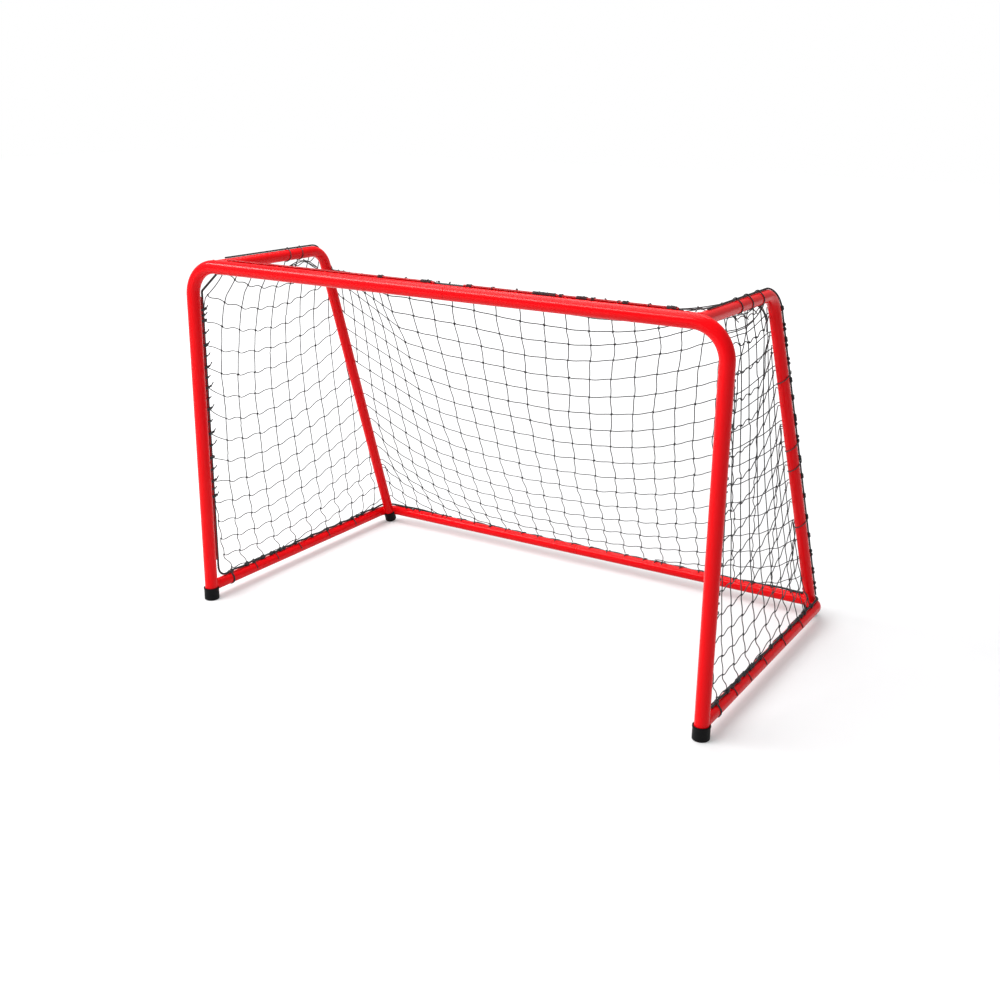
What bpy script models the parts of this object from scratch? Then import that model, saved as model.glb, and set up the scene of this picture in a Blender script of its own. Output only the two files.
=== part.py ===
# Mini goal: a welded steel tube frame in two halves, rubber feet and a knotted net.
#
# Metres, +Z up. The mouth looks along -Y, the net lies behind it along +Y. The origin is on the
# floor, under the middle of the goal's bounding box.
import math

import bmesh
import bpy
from mathutils import Vector

# Front frame: two half hoops of round tube, push-fitted in the crossbar
FRAME_TUBE_R = 0.011
FRAME_TUBE_WALL = 0.0012
FRAME_BEND_R = 0.051
POST_X = 0.467
CROSSBAR_Z = 0.589
CROSSBAR_JOINT_X = 0.034

# Base and side struts: thinner tube
BASE_TUBE_R = 0.0095
BASE_TUBE_WALL = 0.0012
BASE_BEND_R = 0.030
BASE_DEPTH = 0.525
BASE_Z = 0.0232
BACK_JOINT_X = -0.013
STRUT_TUBE_R = 0.0095
STRUT_TUBE_WALL = 0.0012
STRUT_BEND_R = 0.045
STRUT_TOP_X = 0.4224
STRUT_REACH = 0.2784
STRUT_FOOT_INSET = 0.006

# Push-fit joints
SPIGOT_LENGTH = 0.120
SPIGOT_WALL = 0.0012
SPIGOT_CLEARANCE = 0.0005
JOINT_GAP = 0.0003

# Rubber feet
CAP_FLOOR = 0.003
CAP_CHAMFER = 0.0012
CAP_LIP = 0.0005
CAP_LIP_HEIGHT = 0.0028
CAP_BORE_CLEARANCE = 0.0003
FRONT_CAP_WALL = 0.0017
FRONT_CAP_HEIGHT = 0.022
REAR_CAP_WALL = 0.0016
REAR_CAP_HEIGHT = 0.021
REAR_CAP_FLAT = 0.001

# Net rails: thin rods welded behind the posts and on the crossbar
RAIL_R = 0.002
POST_RAIL_GAP = 0.004
POST_RAIL_FOOT_Z = 0.070
POST_RAIL_TOP_DROP = 0.056
BAR_RAIL_GAP = 0.0006
BAR_RAIL_ANGLE = math.radians(60)
BAR_CORD_ANGLE = math.radians(-22)
BAR_RAIL_END_MARGIN = 0.020
BAR_RAIL_JOINT_MARGIN = 0.025

# Cords and net
BORDER_CORD_R = 0.002
SEAM_CORD_R = 0.0015
CORD_BEND_R = 0.004
CORD_FRONT_CORNER_R = 0.016
CORD_REAR_CORNER_R = 0.021
CORD_DIVE = 0.018
CORD_RISE = 0.010
SEAM_ANGLE = math.radians(45)
SEAM_CORD_SIDES = 6
NET_ROOT_MARGIN = 0.018
NET_CORNER_RISE = 0.002
TWINE = 0.0024
BACK_NET_BELLY = 0.012
BACK_NET_HOLD = 5
BACK_NET_COLUMNS = 14
SIDE_NET_BELLY = 0.004
SIDE_NET_COLUMNS = 6
ROOF_ROWS = 4
WALL_ROWS = 9

# Fits
CLEARANCE = 0.0003
NET_CLEARANCE = 0.0006
COPE_START = 0.004

# Mesh fineness
TUBE_SIDES = 16
WIRE_SIDES = 8
CORD_SIDES = 8
CAP_STEPS = 24
BEND_STEPS = 8
WIRE_BEND_STEPS = 3

# Where the frame's lines lie, worked out from the sizes above
FRONT_CAP_R = FRAME_TUBE_R + CAP_BORE_CLEARANCE + FRONT_CAP_WALL
REAR_CAP_R = STRUT_TUBE_R + CAP_BORE_CLEARANCE + REAR_CAP_WALL
POST_Y = -(BASE_DEPTH + BASE_TUBE_R - FRONT_CAP_R - CAP_LIP) / 2
BACK_Y = POST_Y + BASE_DEPTH
CORNER_INSET = BASE_BEND_R * (1 - math.sqrt(0.5)) + STRUT_FOOT_INSET * math.sqrt(0.5)
TUBE_BOTTOM = CAP_FLOOR + CLEARANCE


def clear_scene():
    for found in list(bpy.data.objects):
        bpy.data.objects.remove(found, do_unlink=True)


def new_collection(name):
    collection = bpy.data.collections.new(name)
    bpy.context.scene.collection.children.link(collection)
    return collection


clear_scene()
PARTS = new_collection("mini_goal")
CUTTERS = new_collection("cutters")
GOAL = bpy.data.objects.new("goal", None)
PARTS.objects.link(GOAL)


def material(name, colour, roughness, metallic=0.0):
    made = bpy.data.materials.new(name)
    made.use_nodes = True
    shader = made.node_tree.nodes["Principled BSDF"]
    shader.inputs["Base Color"].default_value = (*colour, 1)
    shader.inputs["Roughness"].default_value = roughness
    shader.inputs["Metallic"].default_value = metallic
    return made


RED_PAINT = material("red_paint", (0.78, 0.008, 0.015), 0.32)
BARE_STEEL = material("bare_steel", (0.55, 0.56, 0.58), 0.40, 1.0)
BLACK_RUBBER = material("black_rubber", (0.012, 0.012, 0.013), 0.60)
BLACK_TWINE = material("black_twine", (0.015, 0.015, 0.017), 0.80)
BLACK_CORD = material("black_cord", (0.012, 0.012, 0.014), 0.75)


def place(made, finish, location=(0, 0, 0)):
    """Files a finished sub-part under the goal, in its own place and material."""
    PARTS.objects.link(made)
    made.parent = GOAL
    made.location = location
    made.data.materials.append(finish)
    return made


def rounded_path(corners, radius, steps):
    """Straight runs between the corners, with an arc of the radius at each inner one."""
    points = [Vector(corners[0])]
    for before, corner, after in zip(corners, corners[1:], corners[2:]):
        corner = Vector(corner)
        back = (Vector(before) - corner).normalized()
        ahead = (Vector(after) - corner).normalized()
        half_angle = back.angle(ahead) / 2
        centre = corner + (back + ahead).normalized() * radius / math.sin(half_angle)
        start = corner + back * radius / math.tan(half_angle) - centre
        end = corner + ahead * radius / math.tan(half_angle) - centre
        turn = math.pi - 2 * half_angle
        for step in range(steps + 1):
            angle = turn * step / steps
            swung = start * math.sin(turn - angle) + end * math.sin(angle)
            points.append(centre + swung / math.sin(turn))
    points.append(Vector(corners[-1]))
    return points


def round_curve(name, points, radius, sides, capped=True, cyclic=False):
    """A round bar of the given number of sides along the points."""
    curve = bpy.data.curves.new(name, "CURVE")
    curve.dimensions = "3D"
    curve.bevel_depth = radius
    curve.bevel_resolution = (sides - 4) // 2
    curve.use_fill_caps = capped
    spline = curve.splines.new("POLY")
    spline.points.add(len(points) - 1)
    for place_in_spline, point in zip(spline.points, points):
        place_in_spline.co = (*point, 1)
    spline.use_cyclic_u = cyclic
    return bpy.data.objects.new(name, curve)


def curve_to_mesh(curve_object):
    """The mesh of a curve object, with its caps welded on; the curve goes."""
    holder = bpy.context.scene.collection
    holder.objects.link(curve_object)
    bpy.context.view_layer.update()
    evaluated = curve_object.evaluated_get(bpy.context.evaluated_depsgraph_get())
    mesh = bpy.data.meshes.new_from_object(evaluated)
    work = bmesh.new()
    work.from_mesh(mesh)
    bmesh.ops.remove_doubles(work, verts=work.verts, dist=0.00001)
    work.to_mesh(mesh)
    work.free()
    name = curve_object.name
    stand = curve_object.matrix_world.copy()
    bpy.data.objects.remove(curve_object, do_unlink=True)
    made = bpy.data.objects.new(name, mesh)
    made.matrix_world = stand
    return made


def bar(name, points, radius, sides, location, finish, cyclic=False):
    """A solid round rod or cord."""
    capped = not cyclic
    made = curve_to_mesh(round_curve(name, points, radius, sides, capped, cyclic))
    place(made, finish, location)
    made.data.shade_smooth()


def tube(name, points, radius, wall, location, finish):
    """An open-ended round tube with a real wall."""
    made = curve_to_mesh(round_curve(name, points, radius, TUBE_SIDES, capped=False))
    place(made, finish, location)
    shell = made.modifiers.new("wall", "SOLIDIFY")
    shell.thickness = wall
    shell.offset = -1
    made.data.shade_smooth()
    return made


def cutter(name, points, radius, location):
    """A solid bar that leaves the clearance round a tube of the radius."""
    made = curve_to_mesh(round_curve(name, points, radius + CLEARANCE, TUBE_SIDES))
    CUTTERS.objects.link(made)
    made.parent = GOAL
    made.location = location
    made.display_type = "WIRE"
    made.hide_render = True
    return made


def cut(made, tool):
    """Takes the tool's shape out of a sub-part."""
    boolean = made.modifiers.new(tool.name, "BOOLEAN")
    boolean.operation = "DIFFERENCE"
    boolean.solver = "EXACT"
    boolean.object = tool


def mirrored(points, side):
    return [Vector((side * point[0], point[1], point[2])) for point in points]


# Front frame

def front_path(side):
    """From a post's foot round the top corner to the crossbar joint."""
    joint = POST_X - side * CROSSBAR_JOINT_X
    corners = [(0, 0, TUBE_BOTTOM), (0, 0, CROSSBAR_Z), (-joint + JOINT_GAP / 2, 0, CROSSBAR_Z)]
    return mirrored(rounded_path(corners, FRAME_BEND_R, BEND_STEPS), side)


def build_front(side, word):
    location = (side * POST_X, POST_Y, 0)
    tube(word + "_front_tube", front_path(side), FRAME_TUBE_R, FRAME_TUBE_WALL, location, RED_PAINT)
    return cutter(word + "_front_room", front_path(side), FRAME_TUBE_R, location)


# Base frame

def base_path(side):
    """From the back of a post round the rear corner to the back bar's joint."""
    joint = POST_X - side * BACK_JOINT_X
    corners = [
        (0, COPE_START, BASE_Z),
        (0, BASE_DEPTH, BASE_Z),
        (-joint + JOINT_GAP / 2, BASE_DEPTH, BASE_Z),
    ]
    return mirrored(rounded_path(corners, BASE_BEND_R, BEND_STEPS), side)


def build_base(side, word, front_room):
    location = (side * POST_X, POST_Y, 0)
    made = tube(word + "_base_tube", base_path(side), BASE_TUBE_R, BASE_TUBE_WALL, location, RED_PAINT)
    cut(made, front_room)
    return cutter(word + "_base_room", base_path(side), BASE_TUBE_R, location)


# Side struts

STRUT_KNEE = Vector((0, STRUT_REACH, 0))
STRUT_SPLAY = POST_X - CORNER_INSET - STRUT_TOP_X
STRUT_ON_BASE = Vector((STRUT_SPLAY, BASE_DEPTH - CORNER_INSET, BASE_Z - CROSSBAR_Z))
LEG_DIRECTION = (STRUT_ON_BASE - STRUT_KNEE).normalized()
LEG_TILT = math.acos(-LEG_DIRECTION.z)
CAP_CENTRE_Z = REAR_CAP_R * math.sin(LEG_TILT) - REAR_CAP_FLAT


def on_leg(height):
    """The point of the strut's axis at a height over the floor, from the strut's own origin."""
    return STRUT_KNEE + LEG_DIRECTION * (height - CROSSBAR_Z) / LEG_DIRECTION.z


STRUT_END = on_leg(CAP_CENTRE_Z) - LEG_DIRECTION * TUBE_BOTTOM
STRUT_CORNERS = [Vector((0, COPE_START, 0)), STRUT_KNEE, STRUT_END]


def strut_origin(side):
    return Vector((side * STRUT_TOP_X, POST_Y, CROSSBAR_Z))


def build_strut(side, word, front_room, base_room):
    path = mirrored(rounded_path(STRUT_CORNERS, STRUT_BEND_R, BEND_STEPS), side)
    made = tube(word + "_strut", path, STRUT_TUBE_R, STRUT_TUBE_WALL, strut_origin(side), RED_PAINT)
    cut(made, front_room)
    cut(made, base_room)


# Push-fit spigots inside the two bars

def build_spigot(name, joint, bore):
    outer = bore - SPIGOT_CLEARANCE
    ends = [(-SPIGOT_LENGTH / 2, 0, 0), (SPIGOT_LENGTH / 2, 0, 0)]
    tube(name, ends, outer, SPIGOT_WALL, joint, BARE_STEEL)


# Rubber feet

def build_cap(name, tube_radius, wall, height, location):
    """A turned ferrule with a lip round its mouth, standing on its own floor."""
    bore = tube_radius + CAP_BORE_CLEARANCE
    outer = bore + wall
    profile = [
        (0, CAP_FLOOR),
        (bore, CAP_FLOOR),
        (bore, height),
        (outer + CAP_LIP, height),
        (outer + CAP_LIP, height - CAP_LIP_HEIGHT),
        (outer, height - CAP_LIP_HEIGHT - CAP_LIP),
        (outer, CAP_CHAMFER),
        (outer - CAP_CHAMFER, 0),
        (0, 0),
    ]
    mesh = bpy.data.meshes.new(name)
    edges = [(k, k + 1) for k in range(len(profile) - 1)]
    mesh.from_pydata([(x, 0, z) for x, z in profile], edges, [])
    made = place(bpy.data.objects.new(name, mesh), BLACK_RUBBER, location)
    turned = made.modifiers.new("turned", "SCREW")
    turned.steps = CAP_STEPS
    turned.render_steps = CAP_STEPS
    turned.use_merge_vertices = True
    turned.merge_threshold = 0.00001
    return made


def floor_cutter():
    """What lies under the floor, to flatten a leaning foot where it stands."""
    width = 3 * POST_X
    bpy.ops.mesh.primitive_cube_add(size=width, location=(0, 0, -width / 2))
    made = bpy.context.object
    made.name = "under_floor"
    for holder in list(made.users_collection):
        holder.objects.unlink(made)
    CUTTERS.objects.link(made)
    made.display_type = "WIRE"
    made.hide_render = True
    return made


def build_feet(side, word, base_room, under_floor):
    front = build_cap(
        "front_" + word + "_cap", FRAME_TUBE_R, FRONT_CAP_WALL, FRONT_CAP_HEIGHT, (side * POST_X, POST_Y, 0)
    )
    cut(front, base_room)
    foot = mirrored([on_leg(CAP_CENTRE_Z)], side)[0] + strut_origin(side)
    rear = build_cap("rear_" + word + "_cap", STRUT_TUBE_R, REAR_CAP_WALL, REAR_CAP_HEIGHT, foot)
    up_leg = Vector((-side * LEG_DIRECTION.x, -LEG_DIRECTION.y, -LEG_DIRECTION.z))
    rear.rotation_euler = up_leg.to_track_quat("Z", "Y").to_euler()
    cut(rear, base_room)
    cut(rear, under_floor)


# Net rails

POST_RAIL_Y = FRAME_TUBE_R + POST_RAIL_GAP + RAIL_R
POST_RAIL_TOP_Z = CROSSBAR_Z - POST_RAIL_TOP_DROP
BAR_RAIL_OFF = FRAME_TUBE_R + BAR_RAIL_GAP + RAIL_R
BAR_RAIL_Y = BAR_RAIL_OFF * math.cos(BAR_RAIL_ANGLE)
BAR_RAIL_Z = BAR_RAIL_OFF * math.sin(BAR_RAIL_ANGLE)
BAR_RAIL_END_X = STRUT_TOP_X - STRUT_TUBE_R - BAR_RAIL_END_MARGIN


def build_post_rail(side, word):
    """A rod behind the post, its two ends turned in to the tube."""
    seat = FRAME_TUBE_R + CLEARANCE
    corners = [
        (0, seat, POST_RAIL_FOOT_Z),
        (0, POST_RAIL_Y, POST_RAIL_FOOT_Z),
        (0, POST_RAIL_Y, POST_RAIL_TOP_Z),
        (0, seat, POST_RAIL_TOP_Z),
    ]
    path = rounded_path(corners, RAIL_R, WIRE_BEND_STEPS)
    bar(word + "_post_rail", path, RAIL_R, WIRE_SIDES, (side * POST_X, POST_Y, 0), RED_PAINT)


def build_bar_rail(side, word):
    """A rod along the crossbar's top rear edge, from the strut to the middle joint."""
    near = side * CROSSBAR_JOINT_X + BAR_RAIL_JOINT_MARGIN
    ends = mirrored([(near, 0, 0), (BAR_RAIL_END_X, 0, 0)], side)
    location = (0, POST_Y + BAR_RAIL_Y, CROSSBAR_Z + BAR_RAIL_Z)
    bar(word + "_crossbar_rail", ends, RAIL_R, WIRE_SIDES, location, RED_PAINT)


# Border cord: one closed line round the net's edge

CORD_OFF = RAIL_R + CLEARANCE + BORDER_CORD_R
CORD_ON_POST_Y = POST_RAIL_Y + CORD_OFF
CORD_ON_BAR_Y = BAR_RAIL_Y + CORD_OFF * math.cos(BAR_CORD_ANGLE)
CORD_ON_BAR_Z = CROSSBAR_Z + BAR_RAIL_Z + CORD_OFF * math.sin(BAR_CORD_ANGLE)
CORD_ON_BASE_Z = BASE_Z + BASE_TUBE_R + CLEARANCE + BORDER_CORD_R
CORD_UNDER_ROOT_Z = CROSSBAR_Z - STRUT_TUBE_R - CORD_OFF


def half_border(side):
    """The cord's right half, from the middle of the crossbar down to the middle of the back bar."""
    root = STRUT_TOP_X - STRUT_TUBE_R
    corners = [
        (0, CORD_ON_BAR_Y, CORD_ON_BAR_Z),
        (root - CORD_DIVE, CORD_ON_BAR_Y, CORD_ON_BAR_Z),
        (root, CORD_ON_POST_Y, CORD_UNDER_ROOT_Z),
        (STRUT_TOP_X + STRUT_TUBE_R, CORD_ON_POST_Y, CORD_UNDER_ROOT_Z),
        (POST_X, CORD_ON_POST_Y, POST_RAIL_TOP_Z + CORD_RISE),
        (POST_X, CORD_ON_POST_Y, CORD_ON_BASE_Z),
        (POST_X, BASE_DEPTH, CORD_ON_BASE_Z),
        (0, BASE_DEPTH, CORD_ON_BASE_Z),
    ]
    radii = [CORD_BEND_R] * 4 + [CORD_FRONT_CORNER_R, CORD_REAR_CORNER_R]
    points = [Vector(corners[0])]
    for k, radius in enumerate(radii):
        points += rounded_path(corners[k:k + 3], radius, WIRE_BEND_STEPS)[1:-1]
    points.append(Vector(corners[-1]))
    return mirrored(points, side)


def build_border_cord():
    route = half_border(1) + half_border(-1)[-2:0:-1]
    bar("border_cord", route, BORDER_CORD_R, CORD_SIDES, (0, POST_Y, 0), BLACK_CORD, cyclic=True)


# Seam cords and net, carried by the struts

STRUT_LINE = rounded_path(STRUT_CORNERS, STRUT_BEND_R, 4 * BEND_STEPS)
STRUT_LENGTH = sum((b - a).length for a, b in zip(STRUT_LINE, STRUT_LINE[1:]))


class StrutSection:
    """The cross-section of the right strut's axis a distance along it from the crossbar."""

    def __init__(self, distance):
        for start, end in zip(STRUT_LINE, STRUT_LINE[1:]):
            step = (end - start).length
            if distance <= step:
                break
            distance -= step
        ahead = (end - start).normalized()
        self.centre = start + ahead * distance + Vector((STRUT_TOP_X, 0, CROSSBAR_Z))
        self.back = Vector((0, -ahead.z, ahead.y)).normalized()

    def at(self, angle, off):
        """A point off the axis; the angle turns from the outside (0) to the back (90 degrees)."""
        return self.centre + Vector((math.cos(angle), 0, 0)) * off + self.back * math.sin(angle) * off

    def touched_from(self, point, off, sense):
        """Where a strand from the point first touches the strut, at a distance off the axis."""
        line = point - self.centre
        outward = line.x
        backward = line.dot(self.back)
        lean = math.acos(off / math.hypot(outward, backward))
        return self.at(math.atan2(backward, outward) + sense * lean, off)


def leg_distance(height):
    """How far along the strut its axis comes down to a height."""
    return STRUT_LENGTH - (height - (STRUT_END.z + CROSSBAR_Z)) / math.cos(LEG_TILT)


SEAM_OFF = STRUT_TUBE_R + CLEARANCE + SEAM_CORD_R
SKIN_OFF = STRUT_TUBE_R + NET_CLEARANCE + TWINE / 2
NET_ON_CORD = BORDER_CORD_R + CLEARANCE + TWINE / 2
NET_TOP = Vector((0, CORD_ON_BAR_Y + NET_ON_CORD, CORD_ON_BAR_Z))
NET_FOOT = Vector((0, BASE_DEPTH, CORD_ON_BASE_Z + NET_ON_CORD))
NET_FRONT_Y = CORD_ON_POST_Y + NET_ON_CORD
KNEE_TURN = math.acos(LEG_DIRECTION.y)
KNEE_START = STRUT_REACH - COPE_START - STRUT_BEND_R * math.tan(KNEE_TURN / 2)
KNEE_SPAN = STRUT_BEND_R * KNEE_TURN
KNEE_SPARE = (STRUT_BEND_R + SKIN_OFF) * (1 / math.cos(KNEE_TURN / 4) - 1)


def spread(start, end, count):
    return [start + (end - start) * k / count for k in range(count + 1)]


# How far down the strut each row of the net is, with two rows round its knee
ROW_DISTANCES = spread(NET_TOP.y + NET_ROOT_MARGIN, KNEE_START + KNEE_SPAN / 4, ROOF_ROWS)
NET_CORNER_Z = NET_FOOT.z + NET_CORNER_RISE
ROW_DISTANCES += spread(KNEE_START + KNEE_SPAN * 3 / 4, leg_distance(NET_CORNER_Z), WALL_ROWS)
ROWS = len(ROW_DISTANCES) - 1


def skin_distance(row):
    """Rows at the knee stand off a little, so that the strands between them clear the bend."""
    return SKIN_OFF + KNEE_SPARE if row in (ROOF_ROWS, ROOF_ROWS + 1) else SKIN_OFF


def build_seam_cord(side, word):
    knee = spread(KNEE_START, KNEE_START + KNEE_SPAN, BEND_STEPS)
    distances = [ROW_DISTANCES[0], *knee, ROW_DISTANCES[-1]]
    route = mirrored([StrutSection(d).at(SEAM_ANGLE, SEAM_OFF) for d in distances], side)
    bar(word + "_seam_cord", route, SEAM_CORD_R, SEAM_CORD_SIDES, (0, POST_Y, 0), BLACK_CORD)


def net(name, columns, rows, knot_at):
    """Twine along the lines of a curved grid, knotted into one piece at each crossing."""
    work = bmesh.new()
    bmesh.ops.create_grid(work, x_segments=columns, y_segments=rows, size=0.5)
    for vert in work.verts:
        column = round((vert.co.x + 0.5) * columns)
        row = round((vert.co.y + 0.5) * rows)
        vert.co = knot_at(column, row)
    mesh = bpy.data.meshes.new(name)
    work.to_mesh(mesh)
    work.free()
    made = place(bpy.data.objects.new(name, mesh), BLACK_TWINE, (0, POST_Y, 0))
    strands = made.modifiers.new("strands", "WIREFRAME")
    strands.thickness = TWINE
    strands.offset = 0
    strands.use_boundary = True
    strands.use_replace = True
    strands.use_even_offset = False


def build_back_net():
    """Over the top bars and down to the back bar, hanging between the two struts."""
    chord = NET_FOOT - NET_TOP
    outwards = Vector((0, -chord.z, chord.y)).normalized()

    def hanging(share, row):
        distance = ROW_DISTANCES[row]
        down = (distance - ROW_DISTANCES[0]) / (ROW_DISTANCES[-1] - ROW_DISTANCES[0])
        rim = StrutSection(distance).at(math.pi / 2, skin_distance(row))
        middle = NET_TOP + chord * down + outwards * BACK_NET_BELLY * math.sin(math.pi * down)
        held = middle.lerp(rim, abs(share) ** BACK_NET_HOLD)
        return Vector((share * rim.x, held.y, held.z))

    def knot_at(column, row):
        share = 2 * column / BACK_NET_COLUMNS - 1
        if abs(share) < 1:
            return hanging(share, row)
        inner = hanging(1 - 2 / BACK_NET_COLUMNS, row)
        section = StrutSection(ROW_DISTANCES[row])
        return mirrored([section.touched_from(inner, skin_distance(row), -1)], share)[0]

    net("back_net", BACK_NET_COLUMNS, ROWS, knot_at)


def build_side_net(side, word):
    """From the cord behind the post to the strut, and from the base cord to the strut's top bar."""
    corner = Vector((POST_X, NET_FRONT_Y, POST_RAIL_TOP_Z + CORD_RISE))
    top = Vector((STRUT_TOP_X + STRUT_TUBE_R, NET_FRONT_Y, CROSSBAR_Z - STRUT_TUBE_R))
    tuck = CORD_FRONT_CORNER_R * (1 - math.sqrt(0.5))
    foot = Vector((POST_X, NET_FRONT_Y + tuck, NET_FOOT.z + tuck))
    front = spread(top, corner, 1) + spread(corner, foot, WALL_ROWS)[1:]
    distances = ROW_DISTANCES[ROOF_ROWS - 1:]

    def knot_at(column, row):
        share = column / SIDE_NET_COLUMNS
        section = StrutSection(distances[row])
        far = section.touched_from(front[row], SKIN_OFF, 1)
        point = front[row].lerp(far, share)
        point.x -= SIDE_NET_BELLY * math.sin(math.pi * share) * math.sin(math.pi * row / WALL_ROWS)
        return Vector((side * point.x, point.y, point.z))

    net(word + "_side_net", SIDE_NET_COLUMNS, len(front) - 1, knot_at)


# Assembly

UNDER_FLOOR = floor_cutter()
for SIDE, WORD in ((-1, "left"), (1, "right")):
    FRONT_ROOM = build_front(SIDE, WORD)
    BASE_ROOM = build_base(SIDE, WORD, FRONT_ROOM)
    build_strut(SIDE, WORD, FRONT_ROOM, BASE_ROOM)
    build_feet(SIDE, WORD, BASE_ROOM, UNDER_FLOOR)
    build_post_rail(SIDE, WORD)
    build_bar_rail(SIDE, WORD)
    build_seam_cord(SIDE, WORD)
    build_side_net(SIDE, WORD)
build_spigot("crossbar_spigot", (CROSSBAR_JOINT_X, POST_Y, CROSSBAR_Z), FRAME_TUBE_R - FRAME_TUBE_WALL)
build_spigot("back_bar_spigot", (BACK_JOINT_X, BACK_Y, BASE_Z), BASE_TUBE_R - BASE_TUBE_WALL)
build_border_cord()
build_back_net()
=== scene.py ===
import bisect
import math

import bpy
from mathutils import Matrix, Vector, noise


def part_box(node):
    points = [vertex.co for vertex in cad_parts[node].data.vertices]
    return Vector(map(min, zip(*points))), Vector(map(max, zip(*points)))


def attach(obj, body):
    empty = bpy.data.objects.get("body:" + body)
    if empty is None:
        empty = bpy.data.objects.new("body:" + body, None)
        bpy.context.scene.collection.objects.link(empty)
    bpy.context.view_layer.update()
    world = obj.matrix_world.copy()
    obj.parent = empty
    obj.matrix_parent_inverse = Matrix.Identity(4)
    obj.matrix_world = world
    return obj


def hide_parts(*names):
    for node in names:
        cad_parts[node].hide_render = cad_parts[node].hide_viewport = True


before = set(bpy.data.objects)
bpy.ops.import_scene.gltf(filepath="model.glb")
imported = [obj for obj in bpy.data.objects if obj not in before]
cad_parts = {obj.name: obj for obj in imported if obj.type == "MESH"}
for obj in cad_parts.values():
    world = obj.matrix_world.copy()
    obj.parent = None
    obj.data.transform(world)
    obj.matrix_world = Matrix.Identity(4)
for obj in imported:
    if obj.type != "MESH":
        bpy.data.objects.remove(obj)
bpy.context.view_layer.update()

# Front frame. Two half hoops of thin-walled round steel tube, each bent cold once at the top
# corner and coated with red powder. They meet in the crossbar over an inner sleeve, where the
# eased ends leave a fine line.
FRAME_TUBE_R = 0.011
TUBE_WALL = 0.0012
TOP_BEND_R = 0.051
END_EASE = 0.00022
TUBE_FACES = 64

right_low, right_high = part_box("right_front_tube")
left_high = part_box("left_front_tube")[1]
POST_X = right_high.x - FRAME_TUBE_R
POST_Y = (right_low.y + right_high.y) / 2
CROSSBAR_Z = right_high.z - FRAME_TUBE_R
SIDES = {"left": -1, "right": 1}


def wire(tree, node, wires):
    """Gives the node's sockets their values or other nodes' outputs."""
    for socket, value in wires.items():
        if isinstance(value, bpy.types.NodeSocket):
            tree.links.new(value, node.inputs[socket])
        else:
            node.inputs[socket].default_value = value


def add(tree, kind, wires=None, **settings):
    """Adds a node to a tree, wires it and gives its outputs."""
    made = tree.nodes.new(kind)
    for name, value in settings.items():
        setattr(made, name, value)
    wire(tree, made, wires or {})
    return made.outputs


def finish(name, roughness):
    """A new material, its node tree, its shader and the place on the piece."""
    made = bpy.data.materials.new(name)
    made.use_nodes = True
    tree = made.node_tree
    shader = tree.nodes["Principled BSDF"]
    shader.inputs["Roughness"].default_value = roughness
    return made, tree, shader, add(tree, "ShaderNodeTexCoord")["Object"]


def grain(tree, place, scale, detail):
    """Noise between 0 and 1."""
    wires = {"Vector": place, "Scale": scale, "Detail": detail}
    return add(tree, "ShaderNodeTexNoise", wires)["Fac"]


def ranged(tree, value, low, high):
    """A value between 0 and 1, taken to the range from low to high."""
    return add(tree, "ShaderNodeMapRange", {"Value": value, "To Min": low, "To Max": high})[0]


def relief(tree, height, strength, distance):
    """A fine relief of the surface, for the shader's normal."""
    wires = {"Height": height, "Strength": strength, "Distance": distance}
    return add(tree, "ShaderNodeBump", wires)[0]


def shades(tree, factor, dark, light, start=0.3, end=0.7):
    """Colours between a dark and a light shade."""
    ramp = tree.nodes.new("ShaderNodeValToRGB")
    tree.links.new(factor, ramp.inputs["Fac"])
    for stop, position, shade in zip(ramp.color_ramp.elements, (start, end), (dark, light)):
        stop.position = position
        stop.color = (*shade, 1)
    return ramp.outputs["Color"]


def powder_coat(name, dark, light):
    """Glossy red powder: a slow drift of shade, and the fine orange peel of the baked film."""
    made, tree, shader, place = finish(name, 0.3)
    wire(tree, shader, {
        "Base Color": shades(tree, grain(tree, place, 14, 4), dark, light),
        "Roughness": ranged(tree, grain(tree, place, 60, 3), 0.20, 0.24),
        "Normal": relief(tree, grain(tree, place, 520, 2), 0.05, 0.00006),
        "Specular IOR Level": 0.12,
    })
    return made


RED_POWDER = powder_coat("red_powder_coat", (0.79, 0.0006, 0.0032), (0.83, 0.0010, 0.0050))


def new_tree(name, sizes):
    """An empty Geometry Nodes tree with named sizes and a finish; the second value holds its inputs."""
    tree = bpy.data.node_groups.new(name, "GeometryNodeTree")
    for label, kind in {"Geometry": "Geometry", **sizes, "Finish": "Material"}.items():
        tree.interface.new_socket(label, in_out="INPUT", socket_type="NodeSocket" + kind)
    tree.interface.new_socket("Geometry", in_out="OUTPUT", socket_type="NodeSocketGeometry")
    return tree, tree.nodes.new("NodeGroupInput").outputs


def close_tree(tree, shape, given):
    """Realizes, smooths and coats what the tree has made."""
    whole = add(tree, "GeometryNodeRealizeInstances", {0: shape})[0]
    smooth = add(tree, "GeometryNodeSetShadeSmooth", {0: whole})[0]
    coated = add(tree, "GeometryNodeSetMaterial", {0: smooth, "Material": given["Finish"]})
    add(tree, "NodeGroupOutput", {0: coated[0]})
    return tree


def line_of(tree, given):
    """The lines that the tree starts from."""
    return add(tree, "GeometryNodeMeshToCurve", {0: given["Geometry"]})[0]


def mark_of(tree, name, kind="FLOAT"):
    """A value that each point of the starting mesh carries."""
    return add(tree, "GeometryNodeInputNamedAttribute", {"Name": name}, data_type=kind)[0]


def circle(tree, faces, radius):
    """A ring to sweep along a line."""
    wires = {"Resolution": faces, "Radius": radius}
    return add(tree, "GeometryNodeCurvePrimitiveCircle", wires)[0]


def swept(tree, line, ring, scale=1.0, caps=False):
    """The skin that a ring leaves along a line."""
    wires = {0: line, 1: ring, "Scale": scale, "Fill Caps": caps}
    return add(tree, "GeometryNodeCurveToMesh", wires)[0]


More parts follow.
